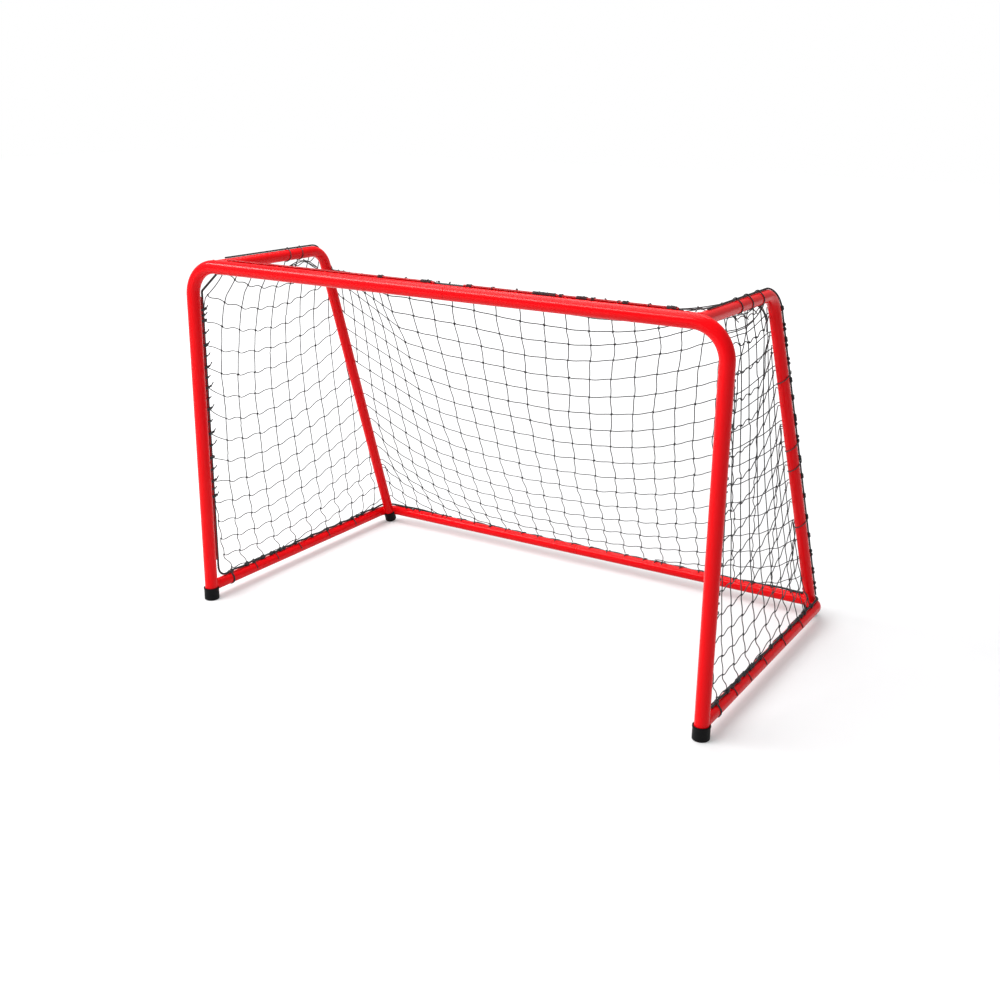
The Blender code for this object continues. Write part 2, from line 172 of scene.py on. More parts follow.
def bent_tube_tree():
    """A round tube along a line, as thick at each point as the line's girth says."""
    tree, given = new_tree("bent_tube", {"Radius": "Float", "Faces round": "Int"})
    ring = circle(tree, given["Faces round"], given["Radius"])
    skin = swept(tree, line_of(tree, given), ring, mark_of(tree, "girth"))
    return close_tree(tree, skin, given)


BENT_TUBE = bent_tube_tree()


def lines_mesh(name, lines, marks=None):
    """A mesh of open lines; a line that ends where it starts is closed. marks are point values."""
    points, edges = [], []
    for line in lines:
        closed = len(line) > 2 and (line[0] - line[-1]).length < 1e-7
        first = len(points)
        points += line[:-1] if closed else line
        edges += [(k, k + 1) for k in range(first, len(points) - 1)]
        if closed:
            edges.append((len(points) - 1, first))
    mesh = bpy.data.meshes.new(name)
    mesh.from_pydata(points, edges, [])
    for label, values in (marks or {}).items():
        vectors = isinstance(values[0], Vector)
        mark = mesh.attributes.new(label, "FLOAT_VECTOR" if vectors else "FLOAT", "POINT")
        flat = [part for value in values for part in value] if vectors else values
        mark.data.foreach_set("vector" if vectors else "value", flat)
    return mesh


def placed(name, data):
    """A new object in the scene."""
    made = bpy.data.objects.new(name, data)
    bpy.context.scene.collection.objects.link(made)
    return made


def grown(name, tree, start, sizes, wall=0.0, crease=0.6):
    """Runs a tree on its starting mesh and keeps the result as one plain piece of the goal."""
    holder = placed(name + "_start", start)
    grower = holder.modifiers.new(tree.name, "NODES")
    grower.node_group = tree
    for socket in tree.interface.items_tree:
        if socket.in_out == "INPUT" and socket.name in sizes:
            grower[socket.identifier] = sizes[socket.name]
    if wall:
        shell = holder.modifiers.new("wall", "SOLIDIFY")
        shell.thickness = wall
        shell.offset = -1
    seen = holder.evaluated_get(bpy.context.evaluated_depsgraph_get())
    mesh = bpy.data.meshes.new_from_object(seen)
    holder.modifiers.clear()
    bpy.data.objects.remove(holder)
    mesh.set_sharp_from_angle(angle=crease)
    return placed(name, mesh)


def rounded(corners, radius, steps=24):
    """Straight runs between the corners, with an arc of the radius at each inner one."""
    corners = [Vector(corner) for corner in corners]
    line = [corners[0]]
    for before, corner, after in zip(corners, corners[1:], corners[2:]):
        back = (before - corner).normalized()
        ahead = (after - corner).normalized()
        half = back.angle(ahead) / 2
        centre = corner + (back + ahead).normalized() * radius / math.sin(half)
        start = corner + back * radius / math.tan(half) - centre
        end = corner + ahead * radius / math.tan(half) - centre
        turn = math.pi - 2 * half
        for step in range(steps + 1):
            angle = turn * step / steps
            swing = start * math.sin(turn - angle) + end * math.sin(angle)
            line.append(centre + swing / math.sin(turn))
    line.append(corners[-1])
    return line


def bent_tube(name, line, radius):
    """A tube along the line, its two cut ends eased a little."""
    first = line[0] + (line[1] - line[0]).normalized() * END_EASE
    last = line[-1] + (line[-2] - line[-1]).normalized() * END_EASE
    line = [line[0], first, *line[1:-1], last, line[-1]]
    eased = 1 - END_EASE / radius
    girths = [eased] + [1.0] * (len(line) - 2) + [eased]
    sizes = {"Radius": radius, "Faces round": TUBE_FACES, "Finish": RED_POWDER}
    return grown(name, BENT_TUBE, lines_mesh(name, [line], {"girth": girths}), sizes, TUBE_WALL)


def fitted(piece, slot, *nodes):
    """The piece belongs to the goal's one body and stands for these sub-parts."""
    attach(piece, "root")
    if nodes:
        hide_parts(*nodes)


for word, side in SIDES.items():
    joint = right_low.x if side > 0 else left_high.x
    corners = [
        (side * POST_X, POST_Y, right_low.z),
        (side * POST_X, POST_Y, CROSSBAR_Z),
        (joint, POST_Y, CROSSBAR_Z),
    ]
    hoop = bent_tube(word + "_front_hoop", rounded(corners, TOP_BEND_R), FRAME_TUBE_R)
    fitted(hoop, "red_paint", word + "_front_tube")

# Base frame. Thinner tube of the same red, bent round each rear corner and joined in the back
# bar over a second sleeve. Its front ends are coped to the backs of the posts and welded.
BASE_TUBE_R = 0.0095
BASE_BEND_R = 0.030
COPE_SINK = 0.0002
COPED_FROM = 0.004

right_low, right_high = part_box("right_base_tube")
left_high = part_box("left_base_tube")[1]
BASE_Z = (right_low.z + right_high.z) / 2
BACK_Y = right_high.y - BASE_TUBE_R


def coped(piece, across, over, radius):
    """Fits the end of a tube to the back of another, which runs through `over` along an axis."""
    for vert in piece.data.vertices:
        off = vert.co[across] - over[across]
        if abs(off) < radius:
            reach = over.y + math.sqrt(radius ** 2 - off ** 2) - COPE_SINK
            vert.co.y = max(vert.co.y, reach)


for word, side in SIDES.items():
    joint = right_low.x if side > 0 else left_high.x
    corners = [
        (side * POST_X, POST_Y + COPED_FROM, BASE_Z),
        (side * POST_X, BACK_Y, BASE_Z),
        (joint, BACK_Y, BASE_Z),
    ]
    base = bent_tube(word + "_base_bar", rounded(corners, BASE_BEND_R), BASE_TUBE_R)
    coped(base, 0, Vector((side * POST_X, POST_Y, 0)), FRAME_TUBE_R)
    fitted(base, "red_paint", word + "_base_tube")

# Side struts. One bent tube each side, welded to the back of the crossbar, running back, over
# the knee and down through the inside of the base frame's rear corner to its own foot.
STRUT_R = 0.0095
STRUT_BEND_R = 0.045
STRUT_TOP_X = 0.4224
STRUT_REACH = 0.2784
FOOT_INSET = 0.006
REAR_CAP_R = 0.0114
REAR_CAP_FLAT = 0.001
TUBE_OVER_FLOOR = 0.0033

corner_inset = BASE_BEND_R * (1 - math.sqrt(0.5)) + FOOT_INSET * math.sqrt(0.5)
knee = Vector((STRUT_TOP_X, POST_Y + STRUT_REACH, CROSSBAR_Z))
LEG_ON_BASE = Vector((POST_X - corner_inset, BACK_Y - corner_inset, BASE_Z))
LEG_WAY = (LEG_ON_BASE - knee).normalized()
rear_cap_z = REAR_CAP_R * math.sqrt(1 - LEG_WAY.z ** 2) - REAR_CAP_FLAT
REAR_CAP_FOOT = knee + LEG_WAY * (rear_cap_z - CROSSBAR_Z) / LEG_WAY.z
strut_end = REAR_CAP_FOOT - LEG_WAY * TUBE_OVER_FLOOR
STRUT_LINE = rounded([(STRUT_TOP_X, POST_Y + COPED_FROM, CROSSBAR_Z), knee, strut_end], STRUT_BEND_R)


def mirrored(point, side):
    """A point of the right side, or its mirror image on the left."""
    return Vector((side * point.x, point.y, point.z))


def on_side(points, side):
    """The same for a whole line."""
    return [mirrored(point, side) for point in points]


for word, side in SIDES.items():
    strut = bent_tube(word + "_side_strut", on_side(STRUT_LINE, side), STRUT_R)
    coped(strut, 2, Vector((0, POST_Y, CROSSBAR_Z)), FRAME_TUBE_R)
    fitted(strut, "red_paint", word + "_strut")

# Weld beads. A small rippled fillet of weld runs round each joint, under the same coat: struts
# to crossbar, base to posts, and struts to the base frame's rear corners.
BEAD_R = 0.0013
BEAD_RIPPLE = 0.0021
RIPPLE_HEIGHT = 0.13
BEAD_STEPS = 96
SCAN_STEP = 0.0001
SCAN_STEPS = 260


def maths(tree, operation, *values):
    """The result of a sum on values or other nodes' outputs."""
    return add(tree, "ShaderNodeMath", dict(enumerate(values)), operation=operation)[0]


def weld_tree():
    """A bead with the overlapping ripples of a hand weld."""
    tree, given = new_tree("weld_bead", {"Radius": "Float", "Ripple": "Float"})
    run = add(tree, "GeometryNodeSplineParameter")["Length"]
    angle = maths(tree, "MULTIPLY", maths(tree, "DIVIDE", run, given["Ripple"]), math.tau)
    girth = maths(tree, "MULTIPLY_ADD", maths(tree, "SINE", angle), RIPPLE_HEIGHT, 1.0)
    bead = swept(tree, line_of(tree, given), circle(tree, 10, given["Radius"]), girth)
    return close_tree(tree, bead, given)


WELD = weld_tree()


def saddle(centre, across, radius, other_radius):
    """The closed line where a tube that runs back along +Y meets the round tube in front of it."""
    line = []
    for step in range(BEAD_STEPS + 1):
        angle = math.tau * step / BEAD_STEPS
        point = centre + Vector((math.cos(angle), 0, math.sin(angle))) * radius
        off = point[across] - centre[across]
        point.y += math.sqrt(other_radius ** 2 - off ** 2)
        line.append(point)
    line[-1] = line[0].copy()
    return line


def to_base_axis(point):
    """How far a point is from the axis of the base frame's right rear corner."""
    low = Vector((POST_X - BASE_BEND_R, BACK_Y - BASE_BEND_R, BASE_Z))
    if point.x < low.x:
        return math.hypot(point.y - BACK_Y, point.z - BASE_Z)
    if point.y < low.y:
        return math.hypot(point.x - POST_X, point.z - BASE_Z)
    to_bend = math.hypot(point.x - low.x, point.y - low.y) - BASE_BEND_R
    return math.hypot(to_bend, point.z - BASE_Z)


def corner_seam():
    """The closed line where the right strut passes through the skin of the base corner."""
    across = LEG_WAY.cross(Vector((0, 0, 1))).normalized()
    up = across.cross(LEG_WAY)
    over, under = [], []
    for step in range(2 * BEAD_STEPS):
        angle = math.tau * (step / (2 * BEAD_STEPS))
        start = LEG_ON_BASE + (across * math.cos(angle) + up * math.sin(angle)) * STRUT_R
        reach = [
            k * SCAN_STEP for k in range(-SCAN_STEPS, SCAN_STEPS + 1)
            if to_base_axis(start + LEG_WAY * k * SCAN_STEP) < BASE_TUBE_R
        ]
        if reach:
            over.append((step, start + LEG_WAY * reach[0]))
            under.append((step, start + LEG_WAY * reach[-1]))
    gap = next((k for k in range(1, len(over)) if over[k][0] - over[k - 1][0] > 1), 0)
    over = [point for _, point in over[gap:] + over[:gap]]
    under = [point for _, point in under[gap:] + under[:gap]]
    return over + under[::-1] + over[:1]


seams = [
    saddle(Vector((STRUT_TOP_X, POST_Y, CROSSBAR_Z)), 2, STRUT_R, FRAME_TUBE_R),
    saddle(Vector((POST_X, POST_Y, BASE_Z)), 0, BASE_TUBE_R, FRAME_TUBE_R),
    corner_seam(),
]
sizes = {"Radius": BEAD_R, "Ripple": BEAD_RIPPLE, "Finish": RED_POWDER}
for word, side in SIDES.items():
    start = lines_mesh("seams", [on_side(seam, side) for seam in seams])
    fitted(grown(word + "_weld_beads", WELD, start, sizes), "red_paint")
# Push-fit sleeves. Short lengths of bare drawn steel tube, hidden inside the crossbar and the
# back bar. The solids are right as they are and only get their brushed metal.


def bare_steel():
    """Drawn steel, with fine scratches along the tube."""
    made, tree, shader, place = finish("bare_drawn_steel", 0.38)
    drawn = add(tree, "ShaderNodeMapping", {"Vector": place, "Scale": (12, 900, 900)})[0]
    scratch = grain(tree, drawn, 1, 4)
    wire(tree, shader, {
        "Base Color": shades(tree, scratch, (0.46, 0.47, 0.49), (0.62, 0.63, 0.65)),
        "Roughness": ranged(tree, scratch, 0.3, 0.46),
        "Metallic": 1,
    })
    return made


BARE_STEEL = bare_steel()
for word in ("crossbar_spigot", "back_bar_spigot"):
    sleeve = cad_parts[word]
    sleeve.data.materials.clear()
    sleeve.data.materials.append(BARE_STEEL)

# Rubber feet. Moulded black ferrules pushed over the tube ends, with a lip round the mouth. The
# rear pair sit on the leaning struts and are ground flat where they meet the floor.
FRONT_CAP_R = 0.013
FRONT_CAP_BORE = 0.0113
FRONT_CAP_HEIGHT = 0.022
REAR_CAP_BORE = 0.0098
REAR_CAP_HEIGHT = 0.021
CAP_FLOOR = 0.003
CAP_LIP = 0.0005
CAP_LIP_HEIGHT = 0.0028
CAP_EASE = 0.0004
CAP_SOLE = ((0, 0.0016), (0.0003, 0.0008), (0.0009, 0.0002), (0.0016, 0))
CAP_FACES = 72


def moulded_rubber():
    """Matt black rubber with a fine moulded grain."""
    made, tree, shader, place = finish("moulded_rubber", 0.5)
    bloom = grain(tree, place, 90, 3)
    wire(tree, shader, {
        "Base Color": shades(tree, bloom, (0.0026, 0.0026, 0.003), (0.006, 0.006, 0.0064)),
        "Roughness": ranged(tree, bloom, 0.42, 0.6),
        "Normal": relief(tree, grain(tree, place, 1600, 2), 0.4, 0.0001),
        "Specular IOR Level": 0.08,
    })
    return made


RUBBER = moulded_rubber()


def turned(name, profile, stand):
    """A body turned round its own axis from a profile that starts and ends on the axis."""
    points = [stand @ Vector((0, 0, profile[0][1]))]
    faces = []
    rings = profile[1:-1]
    for radius, height in rings:
        for step in range(CAP_FACES):
            angle = math.tau * step / CAP_FACES
            spot = Vector((radius * math.cos(angle), radius * math.sin(angle), height))
            points.append(stand @ spot)
    points.append(stand @ Vector((0, 0, profile[-1][1])))
    last = 1 + (len(rings) - 1) * CAP_FACES
    for step in range(CAP_FACES):
        after = (step + 1) % CAP_FACES
        faces.append((0, 1 + step, 1 + after))
        for inner in range(1, last, CAP_FACES):
            outer = inner + CAP_FACES
            faces.append((inner + step, outer + step, outer + after, inner + after))
        faces.append((last + step, len(points) - 1, last + after))
    mesh = bpy.data.meshes.new(name)
    mesh.from_pydata(points, [], faces)
    mesh.shade_smooth()
    mesh.set_sharp_from_angle(angle=0.6)
    return placed(name, mesh)


def ferrule(name, bore, outer, height, stand):
    """A foot: floor, bore, rounded mouth with its lip, wall and rounded sole."""
    soft, lip, under_lip = CAP_EASE, outer + CAP_LIP, height - CAP_LIP_HEIGHT
    profile = [
        (0, CAP_FLOOR),
        (bore - soft, CAP_FLOOR),
        (bore, CAP_FLOOR + soft),
        (bore, height - soft),
        (bore + soft * 0.3, height - soft * 0.3),
        (bore + soft, height),
        (lip - soft, height),
        (lip - soft * 0.3, height - soft * 0.3),
        (lip, height - soft),
        (lip, under_lip + soft),
        (lip - soft * 0.6, under_lip - soft * 0.4),
        (outer, under_lip - soft * 2),
        *((outer - inset, up) for inset, up in CAP_SOLE),
        (0, 0),
    ]
    foot = turned(name, profile, stand)
    foot.data.materials.append(RUBBER)
    return foot


for word, side in SIDES.items():
    stand = Matrix.Translation((side * POST_X, POST_Y, 0))
    front = ferrule("front_" + word + "_foot", FRONT_CAP_BORE, FRONT_CAP_R, FRONT_CAP_HEIGHT, stand)
    fitted(front, "black_rubber", "front_" + word + "_cap")
    up_leg = Vector((-side * LEG_WAY.x, -LEG_WAY.y, -LEG_WAY.z))
    seat = mirrored(REAR_CAP_FOOT, side)
    stand = Matrix.Translation(seat) @ up_leg.to_track_quat("Z", "Y").to_matrix().to_4x4()
    rear = ferrule("rear_" + word + "_foot", REAR_CAP_BORE, REAR_CAP_R, REAR_CAP_HEIGHT, stand)
    for vert in rear.data.vertices:
        vert.co.z = max(vert.co.z, 0)
    fitted(rear, "black_rubber", "rear_" + word + "_cap")

# Net rails. Thin red rods that the net is tied to: one stands off behind each post with its
# ends turned in and welded, and one lies along the top rear edge of each half of the crossbar.
RAIL_R = 0.002
POST_RAIL_OFF = 0.017
POST_RAIL_FOOT_Z = 0.070
POST_RAIL_TOP_Z = CROSSBAR_Z - 0.056
BAR_RAIL_END_X = STRUT_TOP_X - STRUT_R - 0.020
BAR_RAIL_OFF = Vector((0, math.cos(math.radians(60)), math.sin(math.radians(60)))) * 0.0136
TACK_SPACING = 0.085
TACK_INSET = 0.01
ROD_EASE = 0.3
# Painted shade: the rods wear the frame's same red coat, here painted at about a third of its brightness
# for the shade they sit in beside the tubes.
SHADED_ROD_POWDER = powder_coat("red_powder_coat_painted_shade", (0.27, 0.0010, 0.0020), (0.33, 0.0016, 0.0034))


def rod(name, line, node):
    """A solid rod with eased ends."""
    near = line[0] + (line[1] - line[0]).normalized() * RAIL_R * ROD_EASE
    far = line[-1] + (line[-2] - line[-1]).normalized() * RAIL_R * ROD_EASE
    start, end = line[0].lerp(near, 0.2), line[-1].lerp(far, 0.2)
    line = [line[0], start, near, *line[1:-1], far, end, line[-1]]
    girths = [0.02, 0.75] + [1.0] * (len(line) - 4) + [0.75, 0.02]
    sizes = {"Radius": RAIL_R, "Faces round": 20, "Finish": SHADED_ROD_POWDER}
    fitted(grown(name, BENT_TUBE, lines_mesh(name, [line], {"girth": girths}), sizes), "red_paint", node)


tacks = []
for word, side in SIDES.items():
    seat = POST_Y + FRAME_TUBE_R
    back = POST_Y + POST_RAIL_OFF
    corners = [
        (side * POST_X, seat, POST_RAIL_FOOT_Z),
        (side * POST_X, back, POST_RAIL_FOOT_Z),
        (side * POST_X, back, POST_RAIL_TOP_Z),
        (side * POST_X, seat, POST_RAIL_TOP_Z),
    ]
    rod(word + "_post_rod", rounded(corners, 0.003, 8), word + "_post_rail")
    tacks += [(Vector(corner), Vector((0, 1, 0))) for corner in (corners[0], corners[3])]
    low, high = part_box(word + "_crossbar_rail")
    level = Vector((0, POST_Y, CROSSBAR_Z)) + BAR_RAIL_OFF
    ends = [Vector((x, level.y, level.z)) for x in (low.x, high.x)]
    rod(word + "_crossbar_rod", ends, word + "_crossbar_rail")
    tacked = high.x - low.x - 2 * TACK_INSET
    count = round(tacked / TACK_SPACING)
    out = BAR_RAIL_OFF.normalized()
    for step in range(count + 1):
        along = low.x + TACK_INSET + tacked * step / count
        tacks.append((Vector((along, POST_Y, CROSSBAR_Z)) + out * FRAME_TUBE_R, out))


def tack_tree():
    """A small drop of weld at each point."""
    tree, given = new_tree("tack_weld", {"Radius": "Float"})
    wires = {"Radius": given["Radius"], "Subdivisions": 3}
    drop = add(tree, "GeometryNodeMeshIcoSphere", wires)[0]
    out = mark_of(tree, "out", "FLOAT_VECTOR")
    turn = add(tree, "FunctionNodeAlignRotationToVector", {"Vector": out}, axis="Z")[0]
    wires = {0: given["Geometry"], "Instance": drop, "Rotation": turn, "Scale": (1.5, 1.5, 0.8)}
    return close_tree(tree, add(tree, "GeometryNodeInstanceOnPoints", wires)[0], given)


spots = lines_mesh("tacks", [[point] for point, _ in tacks], {"out": [out for _, out in tacks]})
drops = grown("rod_tack_welds", tack_tree(), spots, {"Radius": 0.0017, "Finish": RED_POWDER})
fitted(drops, "red_paint")

# Border cord. One closed three-strand rope round the net's edge: along the crossbar rods, under
# each strut's root, down behind the posts, along the side bars' tops and behind the back bar, a
# little slack between ties.
BORDER_R = 0.0021
ROPE_PITCH = 0.011
ROPE_STEP = 0.0014
CORD_OFF = 0.0043
CORD_SEAT = 0.0023
BASE_CORD_Z = BASE_Z + BASE_TUBE_R + CORD_SEAT
POST_CORD_X = POST_X + 0.0014
BASE_TIE_SPACING = 0.044
CORD_SLACK = 0.0016


def fibre(name, shade, twist):
    """Black polypropylene fibre: slanting yarns of its twist, painted shade in their grooves, a dull
    sheen.
    """
    made, tree, shader, place = finish(name, 0.62)
    run = add(tree, "ShaderNodeAttribute", attribute_name="run")["Fac"]
    round_it = add(tree, "ShaderNodeAttribute", attribute_name="round_it")["Vector"]
    axes = add(tree, "ShaderNodeSeparateXYZ", {0: round_it})
    angle = maths(tree, "MULTIPLY", run, math.tau / twist)
    first = maths(tree, "MULTIPLY", maths(tree, "SINE", angle), axes["X"])
    yarn = maths(tree, "MULTIPLY_ADD", maths(tree, "COSINE", angle), axes["Y"], first)
    level = add(tree, "ShaderNodeMapRange", {"Value": yarn, "From Min": -1, "From Max": 1})[0]
    mixed = maths(tree, "MULTIPLY_ADD", grain(tree, place, 1500, 3), 0.5, level)
    dark, light = (tuple(part * change for part in shade) for change in (0.6, 1.5))
    # The colour follows the twist's relief: painted shade in the grooves between yarns, lighter on their
    # crests, with a random grain mixed in.
    wire(tree, shader, {
        "Base Color": shades(tree, mixed, dark, light, 0.2, 1.2),
        "Normal": relief(tree, mixed, 0.7, 0.0002),
        "Sheen Weight": 0.08,
    })
    return made


ROPE_FIBRE = fibre("black_rope_fibre", (0.011, 0.011, 0.012), 0.0021)


def marked(tree, shape, name, value, kind):
    """Stores a value under a name at each point of a shape."""
    wires = {0: shape, "Name": name, 3: value}
    return add(tree, "GeometryNodeStoreNamedAttribute", wires, data_type=kind, domain="POINT")[0]


def rope_tree():
    """Three strands laid round each other along a line, so many turns from end to end."""
    tree, given = new_tree("laid_rope", {"Radius": "Float", "Turns": "Float", "Step": "Float"})
    wires = {0: line_of(tree, given), "Length": given["Step"]}
    fine = add(tree, "GeometryNodeResampleCurve", wires, mode="LENGTH")[0]
    spline = add(tree, "GeometryNodeSplineParameter")
    turned_by = maths(tree, "MULTIPLY", spline["Factor"], given["Turns"])
    wires = {0: fine, "Tilt": maths(tree, "MULTIPLY", turned_by, math.tau)}
    laid = add(tree, "GeometryNodeSetCurveTilt", wires)[0]
    measured = marked(tree, laid, "run", spline["Length"], "FLOAT")
    spot = add(tree, "GeometryNodeInputPosition")[0]
    ring = marked(tree, circle(tree, 15, 1.0), "round_it", spot, "FLOAT_VECTOR")
    axes = add(tree, "ShaderNodeSeparateXYZ", {0: spot})
    lobes = maths(tree, "MULTIPLY", maths(tree, "ARCTAN2", axes["Y"], axes["X"]), 1.5)
    swell = maths(tree, "ABSOLUTE", maths(tree, "COSINE", lobes))
    reach = maths(tree, "MULTIPLY_ADD", swell, 0.3, 0.7)
    wires = {0: spot, "Scale": maths(tree, "MULTIPLY", reach, given["Radius"])}
    sized = add(tree, "ShaderNodeVectorMath", wires, operation="SCALE")[0]
    trefoil = add(tree, "GeometryNodeSetPosition", {0: ring, "Position": sized})[0]
    return close_tree(tree, swept(tree, measured, trefoil, caps=True), given)


ROPE = rope_tree()


def rope(name, line, radius, pitch, node):
    """A laid rope along the line."""
    length = sum((b - a).length for a, b in zip(line, line[1:]))
    sizes = {"Radius": radius, "Turns": round(length / pitch), "Step": ROPE_STEP, "Finish": ROPE_FIBRE}
    fitted(grown(name, ROPE, lines_mesh(name, [line]), sizes, crease=math.pi), "black_cord", node)


def fine_line(line, step):
    """The same line in steps of about one length."""
    fine = []
    for start, end in zip(line, line[1:]):
        count = max(1, round((end - start).length / step))
        fine += [start.lerp(end, k / count) for k in range(count)]
    return fine + [line[-1]]


CORD_BACK_Y = POST_Y + POST_RAIL_OFF + CORD_OFF
bar_cord = Vector((0, POST_Y, CROSSBAR_Z)) + BAR_RAIL_OFF
bar_cord += Vector((0, math.cos(math.radians(22)), -math.sin(math.radians(22)))) * CORD_OFF
root_x = STRUT_TOP_X - STRUT_R
under_root_z = CROSSBAR_Z - STRUT_R - CORD_OFF
cord_corners = [
    ((0, bar_cord.y, bar_cord.z), 0),
    ((root_x - 0.018, bar_cord.y, bar_cord.z), 0.004),
    ((root_x, CORD_BACK_Y, under_root_z), 0.004),
    ((STRUT_TOP_X + STRUT_R, CORD_BACK_Y, under_root_z), 0.004),
    ((POST_CORD_X, CORD_BACK_Y, POST_RAIL_TOP_Z + 0.010), 0.004),
    ((POST_CORD_X, CORD_BACK_Y, BASE_CORD_Z + 0.020), 0.002),
    ((POST_X, CORD_BACK_Y, BASE_CORD_Z), 0.016),
    ((POST_X, BACK_Y, BASE_CORD_Z), 0.021),
]
off = BASE_TUBE_R + CORD_SEAT
for step in range(7):
    angle = math.radians(90 - 11 * step)
    around = (BACK_Y + off * math.cos(angle), BASE_Z + off * math.sin(angle))
    cord_corners.append(((POST_X - 0.050 - 0.012 * step, *around), 0.004))
back_cord = Vector((0, *around))
cord_corners.append((tuple(back_cord), 0))


def slack(point):
    """The cord stands off the base tube a little between its ties."""
    if point.z > BASE_CORD_Z + 0.0005:
        return point
    if abs(point.x) > POST_X - 0.001:
        run = (point.y - CORD_BACK_Y - 0.016) / BASE_TIE_SPACING
    elif point.y > back_cord.y - 0.001:
        run = abs(point.x) / BASE_TIE_SPACING
    else:
        return point
    rise = CORD_SLACK * math.sin(math.pi * run) ** 2 if run > 0 else 0
    return point + Vector((0, 0, rise))


def half_border():
    """The cord's right half, from the middle of the crossbar to the middle of the back bar."""
    line = [Vector(cord_corners[0][0])]
    for before, corner, after in zip(cord_corners, cord_corners[1:], cord_corners[2:]):
        line += rounded([before[0], corner[0], after[0]], corner[1], 10)[1:-1]
    line.append(Vector(cord_corners[-1][0]))
    return [slack(point) for point in fine_line(line, 0.006)]


border_half = half_border()
border_line = border_half + on_side(border_half, -1)[-2::-1]
rope("net_border_rope", border_line, BORDER_R, ROPE_PITCH, "border_cord")

# Seam cords. A lighter laid cord lies along the outer back of each strut, from the crossbar
# over the knee to the foot; the side net and the back net are tied to it there.
SEAM_R = 0.0015
SEAM_PITCH = 0.008
SEAM_OFF = STRUT_R + SEAM_R + 0.0002
SKIN = 0.0008
NET_OFF = STRUT_R + SKIN
SEAM_ON_LEG = math.radians(36)
SEAM_ON_TOP = math.radians(90)
LEG_LEVEL = 0.15

STRUT_LINE_FINE = fine_line(STRUT_LINE, 0.004)


def strut_ring(index):
    """The strut's axis point at a place on its line, and the direction of its outer back."""
    before = STRUT_LINE_FINE[max(index - 1, 0)]
    after = STRUT_LINE_FINE[min(index + 1, len(STRUT_LINE_FINE) - 1)]
    ahead = (after - before).normalized()
    return STRUT_LINE_FINE[index], Vector((0, -ahead.z, ahead.y)).normalized()


def round_strut(index, angle, off):
    """A point beside the right strut; the angle turns from its outer side (0) to its back."""
    centre, back = strut_ring(index)
    return centre + Vector((math.cos(angle), 0, 0)) * off + back * math.sin(angle) * off


def level_share(index):
    """How level the strut is at a place: 1 along the top bar, 0 down the leg."""
    return min(max((strut_ring(index)[1].z - LEG_WAY.y) / (1 - LEG_WAY.y), 0), 1)


def is_leg(index):
    """Whether the strut runs down at a place, so that twine is carried round it."""
    return level_share(index) <= LEG_LEVEL


def seam_angle(index):
    """The cord lies outside the leg and creeps up on to the top of the level part."""
    return SEAM_ON_LEG + (SEAM_ON_TOP - SEAM_ON_LEG) * level_share(index) ** 2


seam_from = next(k for k, p in enumerate(STRUT_LINE_FINE) if p.y > POST_Y + 0.030)
seam_to = max(k for k, p in enumerate(STRUT_LINE_FINE) if p.z > BASE_CORD_Z + 0.004)
SEAM_LINE = [round_strut(k, seam_angle(k), SEAM_OFF) for k in range(seam_from, seam_to + 1)]
for word, side in SIDES.items():
    rope(word + "_seam_rope", on_side(SEAM_LINE, side), SEAM_R, SEAM_PITCH, word + "_seam_cord")
# Side nets. Hand-tied square mesh of twisted black twine, hung between the rod behind the post,
# the base tube and the strut. The uprights hang taut, and the rows are slack and dip between
# knots; each row passes over the strut to the seam cord.
TWINE_R = 0.0008
KNOT_R = 0.0017
NET_FIBRE = fibre("black_net_twine", (0.013, 0.013, 0.015), 0.0016)


def joined(tree, shapes):
    """Several shapes as one."""
    made = tree.nodes.new("GeometryNodeJoinGeometry")
    for shape in shapes:
        tree.links.new(shape, made.inputs[0])
    return made.outputs[0]


def twine_tree():
    """Twine along every line, and a tight double loop of it at every knot point."""
    sizes = {"Twine radius": "Float", "Knot radius": "Float", "Seed": "Int"}
    tree, given = new_tree("knotted_twine", sizes)
    thick, seed = given["Twine radius"], given["Seed"]
    run = add(tree, "GeometryNodeSplineParameter")["Length"]
    measured = marked(tree, line_of(tree, given), "run", run, "FLOAT")
    spot = add(tree, "GeometryNodeInputPosition")[0]
    ring = marked(tree, circle(tree, 6, 1.0), "round_it", spot, "FLOAT_VECTOR")
    strands = swept(tree, measured, ring, thick, True)
    loop = circle(tree, 6, maths(tree, "SUBTRACT", given["Knot radius"], thick))
    eye = swept(tree, loop, circle(tree, 4, maths(tree, "MULTIPLY", thick, 1.15)))
    eyes = []
    for shift, tip in ((0.0006, (0.5, 0.2, 0.3)), (-0.0006, (1.1, 0.3, -0.4))):
        wires = {0: eye, "Translation": (0, shift, 0), "Rotation": tip}
        eyes.append(add(tree, "GeometryNodeTransform", wires)[0])
    wires = {0: mark_of(tree, "knot"), 1: 0.5}
    here = add(tree, "FunctionNodeCompare", wires, operation="GREATER_THAN", data_type="FLOAT")
    wires = {0: (0, 0, 0), 1: (0.9, 0.9, 6.2), "Seed": seed}
    spin = add(tree, "FunctionNodeRandomValue", wires, data_type="FLOAT_VECTOR")
    wires = {2: 0.85, 3: 1.2, "Seed": seed}
    swell = add(tree, "FunctionNodeRandomValue", wires, data_type="FLOAT")
    wires = {
        0: given["Geometry"],
        "Selection": here[0],
        "Instance": joined(tree, eyes),
        "Rotation": spin[0],
        "Scale": swell[1],
    }
    knots = add(tree, "GeometryNodeInstanceOnPoints", wires)[0]
    return close_tree(tree, joined(tree, (strands, knots)), given)


KNOTTED_TWINE = twine_tree()


